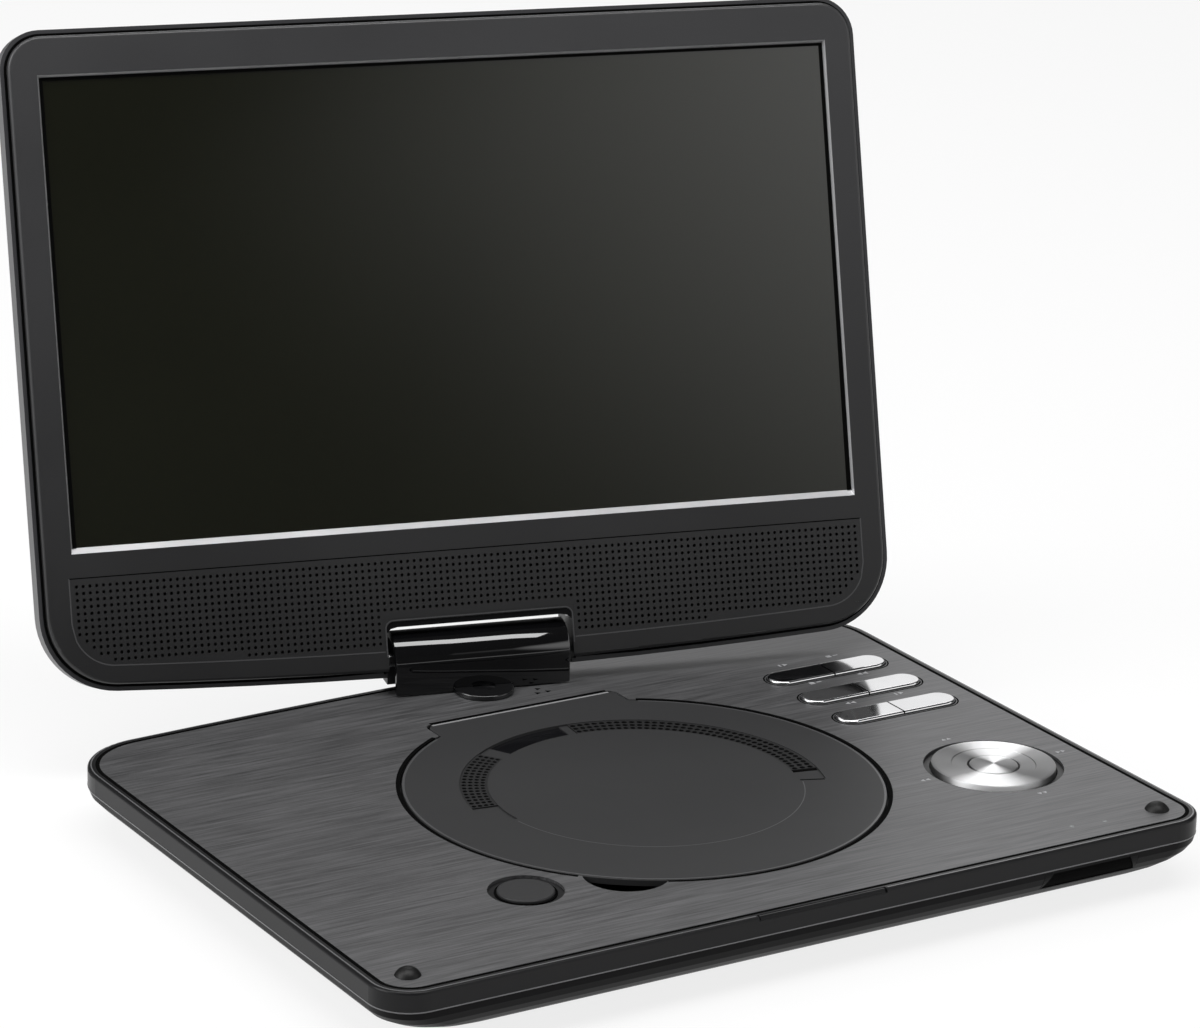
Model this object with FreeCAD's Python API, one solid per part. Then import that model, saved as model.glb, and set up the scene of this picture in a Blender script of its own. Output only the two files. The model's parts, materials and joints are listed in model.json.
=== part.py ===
import FreeCAD, Part
import math
import os

# Portable disc player: a flat base with the disc drive, and a screen lid on a
# hinge that swivels and tilts.  Millimetres, +Z up, +X to the user's right and
# -Y towards the user.  The origin is the middle of the flat underside.

os.makedirs("parts", exist_ok=True)
V = FreeCAD.Vector

# ---- driving dimensions -------------------------------------------------
# base casing
base_w = 244.0
base_d = 184.5
rear_bow = 3.9
front_corner_r = 11.0
rear_corner_r = 21.0
deck_z = 17.0
rim_depth = 5.3
hull_left = 40.0
hull_right = 26.0
hull_front = 18.5
hull_rear = 26.0
hull_corner_grow = 0.3
hull_steps = 9
wall = 1.8
rim_w = 2.2
groove_w = 0.6
rim_round = 0.9
deck_t = 0.8
plate_t = 1.6
foot_r = 6.0
foot_h = 2.0
foot_sunk = 0.6
foot_x = base_w / 2 - 38.0
foot_y = base_d / 2 - 36.25
bumper_x = base_w / 2 - 10.5
bumper_y = -base_d / 2 + 10.75
bumper_r = 3.25
bumper_h = 2.1
thumb_w = 38.0
thumb_h = 1.1
thumb_d = 1.4
# disc bay and its cover
disc_x = 2.0
cover_r = 63.7
cover_t = 1.8
cover_gap = 0.5
tab_w = 59.0
swivel_in = 15.45
swivel_y = base_d / 2 - swivel_in
tab_clear = 16.2
tab_rear = swivel_y - tab_clear
disc_y = tab_rear - 64.9
tab_gap = 0.7
tab_round = 3.0
cover_axis_back = 3.4
cover_axis_z = 15.3
cover_pin_r = 0.7
arm_x = 22.0
arm_w = 4.0
arm_in_r = 3.3
arm_out_r = 4.6
vent_in_r = 41.2
vent_out_r = 48.6
vent_depth = 0.5
vent_start = -22.0
vent_end = 186.0
window_start = 87.0
window_end = 117.0
scallop_r = 11.1
scallop_off = 60.8
scallop_angle = 234.0
scallop_depth = 3.5
tray_r = 63.6
tray_t = 1.2
tray_floor = 10.4
tray_top = 15.0
hub_hole_r = 19.0
# drive
turntable_r = 14.0
turntable_z = 12.0
turntable_t = 1.1
hub_r = 7.4
hub_h = 1.8
ball_r = 0.9
spindle_r = 1.0
motor_r = 12.0
chassis_z = 7.2
chassis_t = 1.2
chassis_w = 96.0
chassis_front = 70.0
chassis_rear = 42.0
grommet_r = 3.5
rail_x = 12.0
rail_r = 1.5
rail_z = 5.4
screw_x = 19.0
screw_r = 1.5
screw_pitch = 3.0
pickup_rest = 27.0
pickup_travel = 30.0
pickup_l = 18.5
turret_r = 5.0
lens_r = 2.2
# buttons
key_x = base_w / 2 - 29.0
key_rear = base_d / 2 - 46.25
key_pitch = 17.1
key_rows = [key_rear, key_rear - key_pitch, key_rear - 2 * key_pitch]
key_l = 38.8
key_w = 9.6
key_gap = 0.35
key_split = 0.5
key_proud = 0.8
key_travel = 0.5
nav_x = base_w / 2 - 30.2
nav_y = -base_d / 2 + 56.25
nav_r = 16.75
nav_dish_r = 18.8
nav_in_r = 7.0
nav_button_r = 6.6
nav_plate_t = 0.45
nav_flange_t = 0.6
nav_proud = 0.8
button_x = disc_x - 63.0
button_y = disc_y - 46.2
button_r = 7.3
button_dish_r = 9.7
button_travel = 1.4
latch_angle = 216.0
latch_w = 5.0
latch_low = 9.6
latch_t = 1.2
latch_top = 13.6
latch_l = 19.4
latch_nose = 3.3
led_places = [(base_w / 2 - 37.4, -base_d / 2 + 11.65), (base_w / 2 - 27.7, -base_d / 2 + 10.35)]
led_r = 0.6
# boards, battery and sockets
board_w = 54.0
board_x1 = base_w / 2 - 14.0
board_x0 = board_x1 - board_w
board_y0 = -base_d / 2 + 30.25
board_y1 = base_d / 2 - 26.25
board_z = 4.0
board_t = 1.2
battery_w = 34.0
battery_l = 110.0
battery_h = 6.0
battery_gap = 0.4
battery_clear = 6.0
socket_z = 8.4
socket_back = 4.0
jack_bore_r = 1.8
jack_bore_l = 14.0
jack_nose_r = 3.0
dc_bore_r = 2.75
dc_pin_r = 0.65
dc_wall = 0.5
headphone_y = board_y0 + 10.0
av_y = headphone_y + 12.0
dc_y = av_y + 16.0
card_y = dc_y + 26.0
usb_y = card_y + 28.0
switch_y = usb_y + 24.0
card_w = 24.6
card_h = 3.0
card_wall = 0.4
switch_travel = 2.0
ir_x = base_w / 2 - 39.0
ir_w = 30.0
ir_h = 4.5
ir_depth = 4.2
# hinge block
tilt_back = 8.5
tilt_z = 25.37
barrel_r = 8.0
barrel_w = 50.0
boss_r = 8.3
boss_t = 1.2
boss_gap = 0.3
shaft_r = 5.0
shaft_bore_r = 3.2
shaft_foot_z = 7.6
bearing_r = 8.0
bearing_z = 9.5
pin_r = 2.0
running = 0.05
# lid
lid_w = base_w - 1.0
lid_d = base_d - 2.9
lid_t = 13.6
lid_gap = 2.37
lid_edge = 5.0
lid_bow = 4.2
lid_round = 4.0
lid_wall = 1.8
bezel_inset = 1.8
bezel_t = 2.5
bezel_round = 0.9
notch_w = 53.0
notch_d = 15.6
notch_wall = 1.6
notch_r = 2.0
window_side = 9.5
window_w = lid_w - 2 * window_side
window_low = 40.7
window_top = 12.3
window_high = lid_d - window_top
glass_gap = 0.3
glass_t = 1.2
glass_recess = 1.3
grille_side = 8.3
grille_w = lid_w - 2 * grille_side
grille_low = 7.4
grille_low_end = 10.8
grille_high = 34.1
grille_t = 1.3
grille_fit = 0.1
grille_border = 2.6
speaker_x = grille_w / 2 - 35.2
speaker_l = 44.0
speaker_w = 19.0
speaker_h = 6.0
driver_low = window_low + 29.3
driver_high = driver_low + 52.0
driver_w = 96.0
driver_t = 1.2
driver_stand = 2.2
bracket_t = 2.0
bracket_l = 15.0
bracket_front = 13.0
screw_shank_r = 1.1
screw_head_r = 2.4
screw_head_h = 1.6
screw_shank_l = 8.0
cross_half = 1.4
cross_w = 0.3
cross_deep = 1.1
motor_low = 2.6
motor_foot = 5.0
spindle_low = 5.2
open_angle = 107.44
swivel_angle = -13.98

# ---- derived places -----------------------------------------------------
rim_z = deck_z - rim_depth
plate_top = deck_z - deck_t
plate_low = plate_top - plate_t
cover_low = deck_z - cover_t
cover_axis_y = tab_rear + cover_axis_back
tilt_y = swivel_y + tilt_back
lid_face = deck_z + lid_gap
lid_back = lid_face + lid_t
lid_rear = tilt_y + lid_edge
lid_mid = lid_rear - lid_d / 2


# ---- helpers ------------------------------------------------------------
def box(x0, x1, y0, y1, z0, z1):
    return Part.makeBox(x1 - x0, y1 - y0, z1 - z0, V(x0, y0, z0))


def cyl(x, y, z0, z1, r):
    return Part.makeCylinder(r, z1 - z0, V(x, y, z0))


def cyl_x(x0, x1, y, z, r):
    return Part.makeCylinder(r, x1 - x0, V(x0, y, z), V(1, 0, 0))


def cyl_y(x, y0, y1, z, r):
    return Part.makeCylinder(r, y1 - y0, V(x, y0, z), V(0, 1, 0))


def tube(x, y, z0, z1, r_out, r_in):
    return cyl(x, y, z0, z1, r_out).cut(cyl(x, y, z0 - 1, z1 + 1, r_in))


def join(solids):
    result = solids[0]
    for piece in solids[1:]:
        result = result.fuse(piece)
    return result.removeSplitter()


def cut_all(solid, cutters):
    for cutter in cutters:
        solid = solid.cut(cutter)
    return solid


def arc(a, b, c):
    return Part.Arc(a, b, c).toShape()


def line(a, b):
    return Part.LineSegment(a, b).toShape()


def casing_wire(width, depth, bow, front_r, rear_r, z):
    """Rounded outline: straight front and sides, bowed rear edge."""
    half = width / 2
    front = -depth / 2
    rear = depth / 2
    bow_r = (half ** 2 + bow ** 2) / (2 * bow)
    bow_y = rear - bow_r
    corner_x = half - rear_r
    corner_y = bow_y + math.sqrt((bow_r - rear_r) ** 2 - corner_x ** 2)
    reach = bow_r / (bow_r - rear_r)
    end_x = corner_x * reach
    end_y = bow_y + (corner_y - bow_y) * reach
    turn = math.atan2(corner_y - bow_y, corner_x) / 2
    mid_x = corner_x + rear_r * math.cos(turn)
    mid_y = corner_y + rear_r * math.sin(turn)
    s = front_r * (1 - math.sqrt(0.5))
    edges = [
        line(V(-half + front_r, front, z), V(half - front_r, front, z)),
        arc(V(half - front_r, front, z), V(half - s, front + s, z), V(half, front + front_r, z)),
        line(V(half, front + front_r, z), V(half, corner_y, z)),
        arc(V(half, corner_y, z), V(mid_x, mid_y, z), V(end_x, end_y, z)),
        arc(V(end_x, end_y, z), V(0, rear, z), V(-end_x, end_y, z)),
        arc(V(-end_x, end_y, z), V(-mid_x, mid_y, z), V(-half, corner_y, z)),
        line(V(-half, corner_y, z), V(-half, front + front_r, z)),
        arc(V(-half, front + front_r, z), V(-half + s, front + s, z), V(-half + front_r, front, z)),
    ]
    return Part.Wire(edges)


def base_wire(inset, z, keep=1.0):
    """Base outline moved in by inset; keep is the share taken off the corner radii."""
    return casing_wire(base_w - 2 * inset, base_d - 2 * inset, rear_bow,
                       max(front_corner_r - keep * inset, 2.0),
                       max(rear_corner_r - keep * inset, 2.0), z)


def lid_wire(inset, z):
    wire = casing_wire(lid_w - 2 * inset, lid_d - 2 * inset, lid_bow,
                       front_corner_r - inset, rear_corner_r - inset, z)
    wire.translate(V(0, lid_mid, 0))
    return wire


def prism(wire, height):
    return Part.Face(wire).extrude(V(0, 0, height))


def hull(inset, floor_z):
    """Bowl of the bottom case: a quarter ellipse in section, all round."""
    sections = []
    for step in range(hull_steps + 1):
        turn = math.radians(90.0 * step / hull_steps)
        z = rim_z - (rim_z - floor_z) * math.sin(turn)
        share = 1 - math.cos(turn)
        left, right = inset + hull_left * share, inset + hull_right * share
        front, rear = inset + hull_front * share, inset + hull_rear * share
        grow = hull_corner_grow * hull_rear * share
        wire = casing_wire(base_w - left - right, base_d - front - rear, rear_bow,
                           front_corner_r - inset + grow, rear_corner_r - inset + grow, z)
        wire.translate(V((left - right) / 2, (front - rear) / 2, 0))
        sections.append(wire)
    return Part.makeLoft(sections, True, True)


def round_edges(solid, radius, z, tolerance=0.01):
    """Round the outer edges that lie in the plane at height z."""
    edges = []
    for edge in solid.Edges:
        bounds = edge.BoundBox
        if abs(bounds.ZMin - z) < tolerance and abs(bounds.ZMax - z) < tolerance:
            edges.append(edge)
    return solid.makeFillet(radius, edges)


def pill(x, y, length, width, z0, z1):
    r = width / 2
    half = length / 2 - r
    body = box(x - half, x + half, y - r, y + r, z0, z1)
    return join([body, cyl(x - half, y, z0, z1, r), cyl(x + half, y, z0, z1, r)])


def at_latch(solid):
    """Turn a solid drawn along +X from the disc's axis to the latch's direction."""
    solid.rotate(V(0, 0, 0), V(0, 0, 1), latch_angle)
    solid.translate(V(disc_x, disc_y, 0))
    return solid


def sector(r_in, r_out, start, end, z0, z1):
    """Part of a ring about the disc's axis, between two angles in degrees."""
    ring = Part.makeCylinder(r_out, z1 - z0, V(0, 0, z0), V(0, 0, 1), end - start)
    core = Part.makeCylinder(r_in, z1 - z0, V(0, 0, z0), V(0, 0, 1), end - start)
    ring = ring.cut(core)
    ring.rotate(V(0, 0, 0), V(0, 0, 1), start)
    ring.translate(V(disc_x, disc_y, 0))
    return ring


def turn_hinge(solid):
    """Move a piece drawn straight on the base to the swivel's rest angle."""
    solid.rotate(V(0, swivel_y, 0), V(0, 0, 1), swivel_angle)
    return solid


def open_lid(solid):
    """Move a piece drawn with the lid closed to the lid's rest place."""
    solid.rotate(V(0, tilt_y, tilt_z), V(-1, 0, 0), open_angle)
    return turn_hinge(solid)


def save(name, shape):
    shape.exportStep("parts/" + name + ".step")


# ---- openings that several plates share ---------------------------------
def cover_outline(gap, rear_gap, z0, z1):
    """Disc cover's outline with its hinge tab, grown by the gaps."""
    disc = cyl(disc_x, disc_y, z0, z1, cover_r + gap)
    half = tab_w / 2 + gap
    rear = tab_rear + rear_gap
    tab = box(disc_x - half, disc_x + half, disc_y + cover_r / 2, rear, z0, z1)
    corners = []
    for edge in tab.Edges:
        bounds = edge.BoundBox
        if bounds.ZLength > 0.5 * (z1 - z0) and bounds.YMin > rear - 0.01:
            corners.append(edge)
    return join([disc, tab.makeFillet(tab_round, corners)])


def scallop(grow, z0, z1):
    turn = math.radians(scallop_angle)
    x = disc_x + scallop_off * math.cos(turn)
    y = disc_y + scallop_off * math.sin(turn)
    return cyl(x, y, z0, z1, scallop_r + grow)


def arm_pockets(z0, z1):
    pockets = []
    for side in (-1, 1):
        x = disc_x + side * arm_x
        reach = arm_w / 2 + 1.4
        pockets.append(box(x - reach, x + reach, tab_rear, cover_axis_y + 1.4, z0, z1))
    return pockets


def deck_openings(z0, z1, nav, button):
    """Holes through the deck plate or through the top case's plate below it."""
    cutters = [cover_outline(cover_gap, tab_gap, z0, z1), scallop(0, z0, z1)]
    for y in key_rows:
        cutters.append(pill(key_x, y, key_l, key_w, z0, z1))
    cutters.append(cyl(nav_x, nav_y, z0, z1, nav))
    cutters.append(cyl(button_x, button_y, z0, z1, button))
    cutters.append(cyl(0, swivel_y, z0, z1, shaft_r + 0.3))
    for x, y in led_places:
        cutters.append(cyl(x, y, z0, z1, led_r + running))
    return cutters


screw_x_in = base_w / 2 - 25.0
screw_places = [(-screw_x_in, -base_d / 2 + 26.25), (-screw_x_in, base_d / 2 - 25.25),
                (screw_x_in, -base_d / 2 + 20.25), (screw_x_in, base_d / 2 - 19.25)]
boss_r_out = 3.4
screw_seat_z = 3.5
boss_split_z = 6.0
post_places = [(disc_x + sx * (chassis_w / 2 - 6), disc_y + dy)
               for sx in (-1, 1) for dy in (-chassis_front + 7, chassis_rear - 7)]
board_posts = [(board_x0 + 5, board_y0 + 6), (board_x0 + 5, board_y1 - 6),
               (board_x1 - 8, board_y0 + 6), (board_x1 - 8, board_y1 - 6)]
side_reach = base_w / 2 + 5


# ---- base ---------------------------------------------------------------
def bottom_case():
    outer = hull(0, 0)
    shell = outer.cut(hull(wall, wall))
    front = -base_d / 2
    pocket = box(ir_x - ir_w / 2, ir_x + ir_w / 2, front - 1, front + ir_depth, rim_z - 1 - ir_h, rim_z - 1)
    lining = box(ir_x - ir_w / 2 - 1.4, ir_x + ir_w / 2 + 1.4, front - 1, front + ir_depth + 1.4,
                 rim_z - 2.2 - ir_h, rim_z)
    shell = shell.fuse(lining.common(outer))
    posts = []
    for x, y in screw_places:
        posts.append(cyl(x, y, 0, boss_split_z, boss_r_out).common(outer))
    for x, y in post_places:
        posts.append(cyl(x, y, 1, chassis_z - chassis_t, grommet_r))
        posts.append(cyl(x, y, 1, chassis_z + chassis_t + 0.4, 1.2))
    for x, y in board_posts:
        posts.append(cyl(x, y, 1, board_z, 2.2).common(outer))
    case = join([shell] + posts)
    cutters = [pocket]
    for x, y in screw_places:
        cutters.append(cyl(x, y, -1, boss_split_z + 1, screw_shank_r + 0.3))
        cutters.append(cyl(x, y, -1, screw_seat_z, screw_head_r + 0.3))
    for sx in (-1, 1):
        for sy in (-1, 1):
            cutters.append(cyl(sx * foot_x, sy * foot_y, -1, foot_sunk, foot_r))
    for y in (headphone_y, av_y):
        cutters.append(cyl_x(board_x1, side_reach, y, socket_z, jack_nose_r + 0.1))
    cutters.append(cyl_x(board_x1, side_reach, dc_y, socket_z, dc_bore_r + dc_wall + 0.04))
    cutters.append(box(board_x1 + 3, side_reach, usb_y - 6.9, usb_y + 6.9, socket_z - 2.9, socket_z + 2.9))
    cutters.append(box(board_x1 + 3, side_reach, card_y - card_w / 2 - 0.3, card_y + card_w / 2 + 0.3,
                       socket_z - card_h / 2 - 0.2, socket_z + card_h / 2 + 0.2))
    cutters.append(box(board_x1 + 3, side_reach, switch_y - 5.4, switch_y + 5.4, socket_z - 1.6, socket_z + 1.6))
    return cut_all(case, cutters)


def top_case():
    outer = round_edges(prism(base_wire(0, rim_z), rim_depth), rim_round, deck_z)
    hollow = prism(base_wire(wall, rim_z - 1), plate_low - rim_z + 1)
    recess = prism(base_wire(rim_w, plate_top), deck_t + 1)
    case = outer.cut(hollow).cut(recess)
    case = cut_all(case, deck_openings(plate_low - 1, plate_top + 1, nav_r + key_gap, button_r + 0.3))
    case = cut_all(case, arm_pockets(plate_low - 1, plate_top + 1))
    extras = []
    cup = scallop(1.2, deck_z - scallop_depth - 1, plate_low).cut(scallop(0, deck_z - scallop_depth, deck_z))
    extras.append(cup.cut(cyl(disc_x, disc_y, 0, deck_z, cover_r + cover_gap)))
    for x, y in screw_places:
        extras.append(tube(x, y, boss_split_z, plate_low, 3.0, screw_shank_r))
    for x, y in key_board_posts:
        extras.append(cyl(x, y, key_board_z + key_board_t, plate_low, 1.8))
    lug = box(0, arm_w, cover_axis_y - 1.6, cover_axis_y + 1.6, cover_axis_z - 2.2, plate_low)
    for side in (-1, 1):
        solid = lug.copy()
        x = disc_x + side * (arm_x + arm_w) - arm_w / 2
        solid.translate(V(x + side * 1.4, 0, 0))
        extras.append(solid)
    half = latch_w / 2 + 0.3
    guide = box(tray_r + 3.4, tray_r + 6.0, -half - 1.2, half + 1.2, latch_low - 1.2, plate_low)
    guide = guide.cut(box(tray_r + 2.4, tray_r + 7.4, -half, half, latch_low - 0.3, plate_low - 1.0))
    extras.append(at_latch(guide))
    case = join([case] + extras)
    front = -base_d / 2
    case = case.cut(box(-thumb_w / 2, thumb_w / 2, front - 1, front + thumb_d, deck_z - thumb_h, deck_z + 1))
    for side in (-1, 1):
        x = disc_x + side * arm_x
        x0 = min(x, x + side * (arm_w / 2 + 3.4))
        case = case.cut(cyl_x(x0, x0 + arm_w / 2 + 3.4, cover_axis_y, cover_axis_z, cover_pin_r + running))
    for side in (-1, 1):
        case = case.cut(cyl(side * bumper_x, bumper_y, plate_top - 0.6, deck_z, 2.0))
    return case


def deck_plate():
    plate = prism(base_wire(rim_w + groove_w, plate_top), deck_t)
    plate = cut_all(plate, deck_openings(plate_top - 1, deck_z + 1, nav_dish_r, button_dish_r))
    for side in (-1, 1):
        plate = plate.cut(cyl(side * bumper_x, bumper_y, plate_top - 1, deck_z + 1, 2.0))
    return plate


def feet():
    solids = []
    for sx in (-1, 1):
        for sy in (-1, 1):
            foot = cyl(sx * foot_x, sy * foot_y, -foot_h, foot_sunk, foot_r)
            solids.append(round_edges(foot, 0.6, -foot_h))
    return Part.makeCompound(solids)


def bumpers():
    solids = []
    for side in (-1, 1):
        dome_r = (bumper_r ** 2 + bumper_h ** 2) / (2 * bumper_h)
        ball = Part.makeSphere(dome_r, V(side * bumper_x, bumper_y, deck_z + bumper_h - dome_r))
        dome = ball.common(cyl(side * bumper_x, bumper_y, deck_z, deck_z + bumper_h + 1, bumper_r))
        stem = cyl(side * bumper_x, bumper_y, plate_top - 0.6, deck_z, 2.0)
        solids.append(join([dome, stem]))
    return Part.makeCompound(solids)


def bay_tray():
    floor = cyl(disc_x, disc_y, tray_floor - tray_t, tray_floor, tray_r - tray_t)
    ring = tube(disc_x, disc_y, tray_floor - tray_t, tray_top, tray_r, tray_r - tray_t)
    flange = tube(disc_x, disc_y, plate_low - 1.0, plate_low, tray_r + 3.0, tray_r - tray_t)
    ring = join([ring, flange])
    slot = box(disc_x - turret_r - 2, disc_x + turret_r + 2, disc_y - pickup_rest - pickup_travel - turret_r - 2,
               disc_y, 0, tray_floor + 1)
    window = at_latch(box(tray_r - 8.6, tray_r + 6.4, -latch_w / 2 - 1.5, latch_w / 2 + 1.5, latch_low, deck_z))
    cutters = [cyl(disc_x, disc_y, 0, deck_z, hub_hole_r), slot, scallop(1.5, plate_low - 4, deck_z), window]
    for pocket in arm_pockets(tray_floor, deck_z):
        cutters.append(pocket)
    rear_clear = box(disc_x - tab_w / 2, disc_x + tab_w / 2, cover_axis_y - arm_out_r - 0.6,
                     cover_axis_y + 5, tray_floor, deck_z)
    cutters.append(rear_clear)
    return Part.makeCompound(cut_all(floor, cutters).Solids + cut_all(ring, cutters).Solids)


# ---- disc cover ---------------------------------------------------------
def disc_cover():
    cover = cover_outline(0, 0, cover_low, deck_z)
    cover = round_edges(cover, 0.3, deck_z)
    band = sector(vent_in_r, vent_out_r, vent_start, vent_end, deck_z - vent_depth, deck_z + 1)
    window = sector(vent_in_r, vent_out_r, window_start, window_end, cover_low - 1, deck_z)
    cover = cover.cut(band).cut(window)
    extras = [at_latch(box(cover_r - 4.5, cover_r - 2.7, -latch_w / 2, latch_w / 2, latch_top - 1.4, cover_low))]
    for side in (-1, 1):
        x = disc_x + side * arm_x
        ring = cyl_x(x - arm_w / 2, x + arm_w / 2, cover_axis_y, cover_axis_z, arm_out_r)
        ring = ring.cut(cyl_x(x - arm_w, x + arm_w, cover_axis_y, cover_axis_z, arm_in_r))
        ring = ring.common(box(x - arm_w, x + arm_w, cover_axis_y - arm_out_r - 1, cover_axis_y,
                               cover_axis_z - arm_out_r - 1, cover_axis_z + 0.2))
        web = box(x - arm_w / 2, x + arm_w / 2, cover_axis_y - 0.75, cover_axis_y + 0.75,
                  cover_axis_z - arm_out_r + 0.2, cover_axis_z)
        eye = cyl_x(x - arm_w / 2, x + arm_w / 2, cover_axis_y, cover_axis_z, 0.75)
        extras += [ring, web, eye]
    return join([cover] + extras)


def cover_pins():
    solids = []
    for side in (-1, 1):
        x = disc_x + side * arm_x
        end = x + side * (arm_w / 2 + 3.0)
        start = x + side * arm_w / 2
        solids.append(cyl_x(min(start, end), max(start, end), cover_axis_y, cover_axis_z, cover_pin_r))
    return Part.makeCompound(solids)


def cover_window():
    return sector(vent_in_r, vent_out_r, window_start, window_end, cover_low, deck_z - vent_depth - 0.3)


# ---- cover latch and open button ----------------------------------------

def cover_latch():
    half = latch_w / 2
    x0 = tray_r + 1.0
    plate = box(x0, x0 + latch_l, -half, half, latch_low, latch_low + latch_t)
    riser = box(x0, x0 + 2.0, -half, half, latch_low, latch_top)
    nose = box(x0 - latch_nose, x0 + 2.0, -half, half, latch_top - latch_t, latch_top)
    return at_latch(join([plate, riser, nose]))


def open_button():
    low = latch_low + latch_t + button_travel + 0.2
    skirt = cyl(button_x, button_y, low, plate_low - 0.3, button_r + 1.0)
    cap = cyl(button_x, button_y, low, deck_z + 0.2, button_r)
    return join([round_edges(cap, 0.5, deck_z + 0.2), skirt])


# ---- drive --------------------------------------------------------------
lug_rear = (-16.0, -13.0)
lug_front = (-70.0, -67.0)


def drive_chassis():
    plate = box(disc_x - chassis_w / 2, disc_x + chassis_w / 2, disc_y - chassis_front,
                disc_y + chassis_rear, chassis_z, chassis_z + chassis_t)
    lugs = []
    for low, high in (lug_rear, lug_front):
        lugs.append(box(disc_x - rail_x - 4, disc_x + screw_x + 3.5, disc_y + low, disc_y + high, 2.8, chassis_z))
    chassis = join([plate] + lugs)
    slot = box(disc_x - turret_r - 1.5, disc_x + turret_r + 1.5,
               disc_y - pickup_rest - pickup_travel - turret_r - 1.5, disc_y - pickup_rest + turret_r + 1.5,
               0, chassis_z + 5)
    cutters = [slot, cyl(disc_x, disc_y, 0, 20, 4.0), cyl(disc_x, disc_y, 0, chassis_z, motor_r)]
    for side in (-1, 1):
        cutters.append(cyl_y(disc_x + side * rail_x, disc_y - chassis_front - 1, disc_y, rail_z, rail_r))
    cutters.append(cyl_y(disc_x + screw_x, disc_y - chassis_front + 1.5, disc_y + lug_rear[1] + 1, rail_z,
                         screw_r + running))
    cutters.append(box(disc_x + screw_x - 3.8, disc_x + screw_x + 3.8, disc_y + lug_rear[1],
                       disc_y + lug_rear[1] + 14.0, 0, 20))
    for x, y in post_places:
        cutters.append(cyl(x, y, 0, 20, 2.2))
    return cut_all(chassis, cutters)


def grommets():
    solids = []
    for x, y in post_places:
        body = cyl(x, y, chassis_z - chassis_t, tray_floor - tray_t, grommet_r)
        waist = tube(x, y, chassis_z, chassis_z + chassis_t, grommet_r + 1, 2.2)
        solids.append(body.cut(waist).cut(cyl(x, y, 0, 20, 1.2)))
    return Part.makeCompound(solids)


def sled_rails():
    solids = []
    for side in (-1, 1):
        solids.append(cyl_y(disc_x + side * rail_x, disc_y + lug_front[0], disc_y + lug_rear[1], rail_z, rail_r))
    return Part.makeCompound(solids)


def laser_pickup():
    y1 = disc_y - pickup_rest + pickup_l / 2
    y0 = y1 - pickup_l
    body = box(disc_x - rail_x - 3, disc_x + rail_x + 3, y0, y1, 3.4, chassis_z - 0.3)
    nut = box(disc_x + rail_x + 3, disc_x + screw_x + 2.6, y0 + 3, y0 + 9, 3.0, chassis_z - 0.3)
    turret = cyl(disc_x, disc_y - pickup_rest, 6.0, tray_floor, turret_r)
    cutters = [cyl(disc_x, disc_y - pickup_rest, tray_floor - 1.0, tray_floor + 1, lens_r + 0.6)]
    for side in (-1, 1):
        cutters.append(cyl_y(disc_x + side * rail_x, y0 - 1, y1 + 1, rail_z, rail_r + running))
    cutters.append(cyl_y(disc_x + screw_x, y0 - 1, y1 + 1, rail_z, screw_r + running))
    return cut_all(join([body, nut, turret]), cutters)


def pickup_lens():
    y = disc_y - pickup_rest
    holder = cyl(disc_x, y, tray_floor - 1.0, tray_floor - 0.4, lens_r + 0.6)
    dome = Part.makeSphere(3.2, V(disc_x, y, tray_floor - 2.9))
    dome = dome.common(cyl(disc_x, y, tray_floor - 0.4, tray_floor + 2, lens_r))
    return join([holder, dome])


def lead_screw():
    y0 = disc_y + lug_front[0] + 1.7
    y1 = disc_y + lug_rear[1] + 1.0
    shaft = cyl_y(disc_x + screw_x, y0, y1, rail_z, screw_r)
    grooves = []
    turns = int((y1 - y0 - 8) / screw_pitch)
    for turn in range(turns):
        y = y0 + 4 + turn * screw_pitch
        grooves.append(cyl_y(disc_x + screw_x, y, y + screw_pitch / 3, rail_z, screw_r + 1).cut(
            cyl_y(disc_x + screw_x, y - 1, y + screw_pitch, rail_z, screw_r - 0.35)))
    return cut_all(shaft, grooves)


def sled_motor():
    y0 = disc_y + lug_rear[1]
    can = cyl_y(disc_x + screw_x, y0, y0 + 13.0, rail_z, 3.4)
    return can.cut(cyl_y(disc_x + screw_x, y0 - 1, y0 + 2, rail_z, screw_r + running))


def spindle_motor():
    can = cyl(disc_x, disc_y, motor_low, chassis_z, motor_r)
    neck = cyl(disc_x, disc_y, chassis_z, turntable_z - turntable_t - 0.5, 4.0)
    return join([can, neck]).cut(cyl(disc_x, disc_y, motor_foot, deck_z, spindle_r + running))


def turntable():
    plate = cyl(disc_x, disc_y, turntable_z - turntable_t, turntable_z, turntable_r)
    boss = cyl(disc_x, disc_y, turntable_z, turntable_z + hub_h, hub_r)
    shaft = cyl(disc_x, disc_y, spindle_low, turntable_z, spindle_r)
    hub = join([plate, round_edges(boss, 0.6, turntable_z + hub_h), shaft])
    for ball in ball_places():
        hub = hub.cut(Part.makeSphere(ball_r + running, ball))
    return hub


def ball_places():
    places = []
    for turn in (90, 210, 330):
        a = math.radians(turn)
        r = hub_r - 0.5
        places.append(V(disc_x + r * math.cos(a), disc_y + r * math.sin(a), turntable_z + 1.0))
    return places


def hub_balls():
    return Part.makeCompound([Part.makeSphere(ball_r, place) for place in ball_places()])


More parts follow.
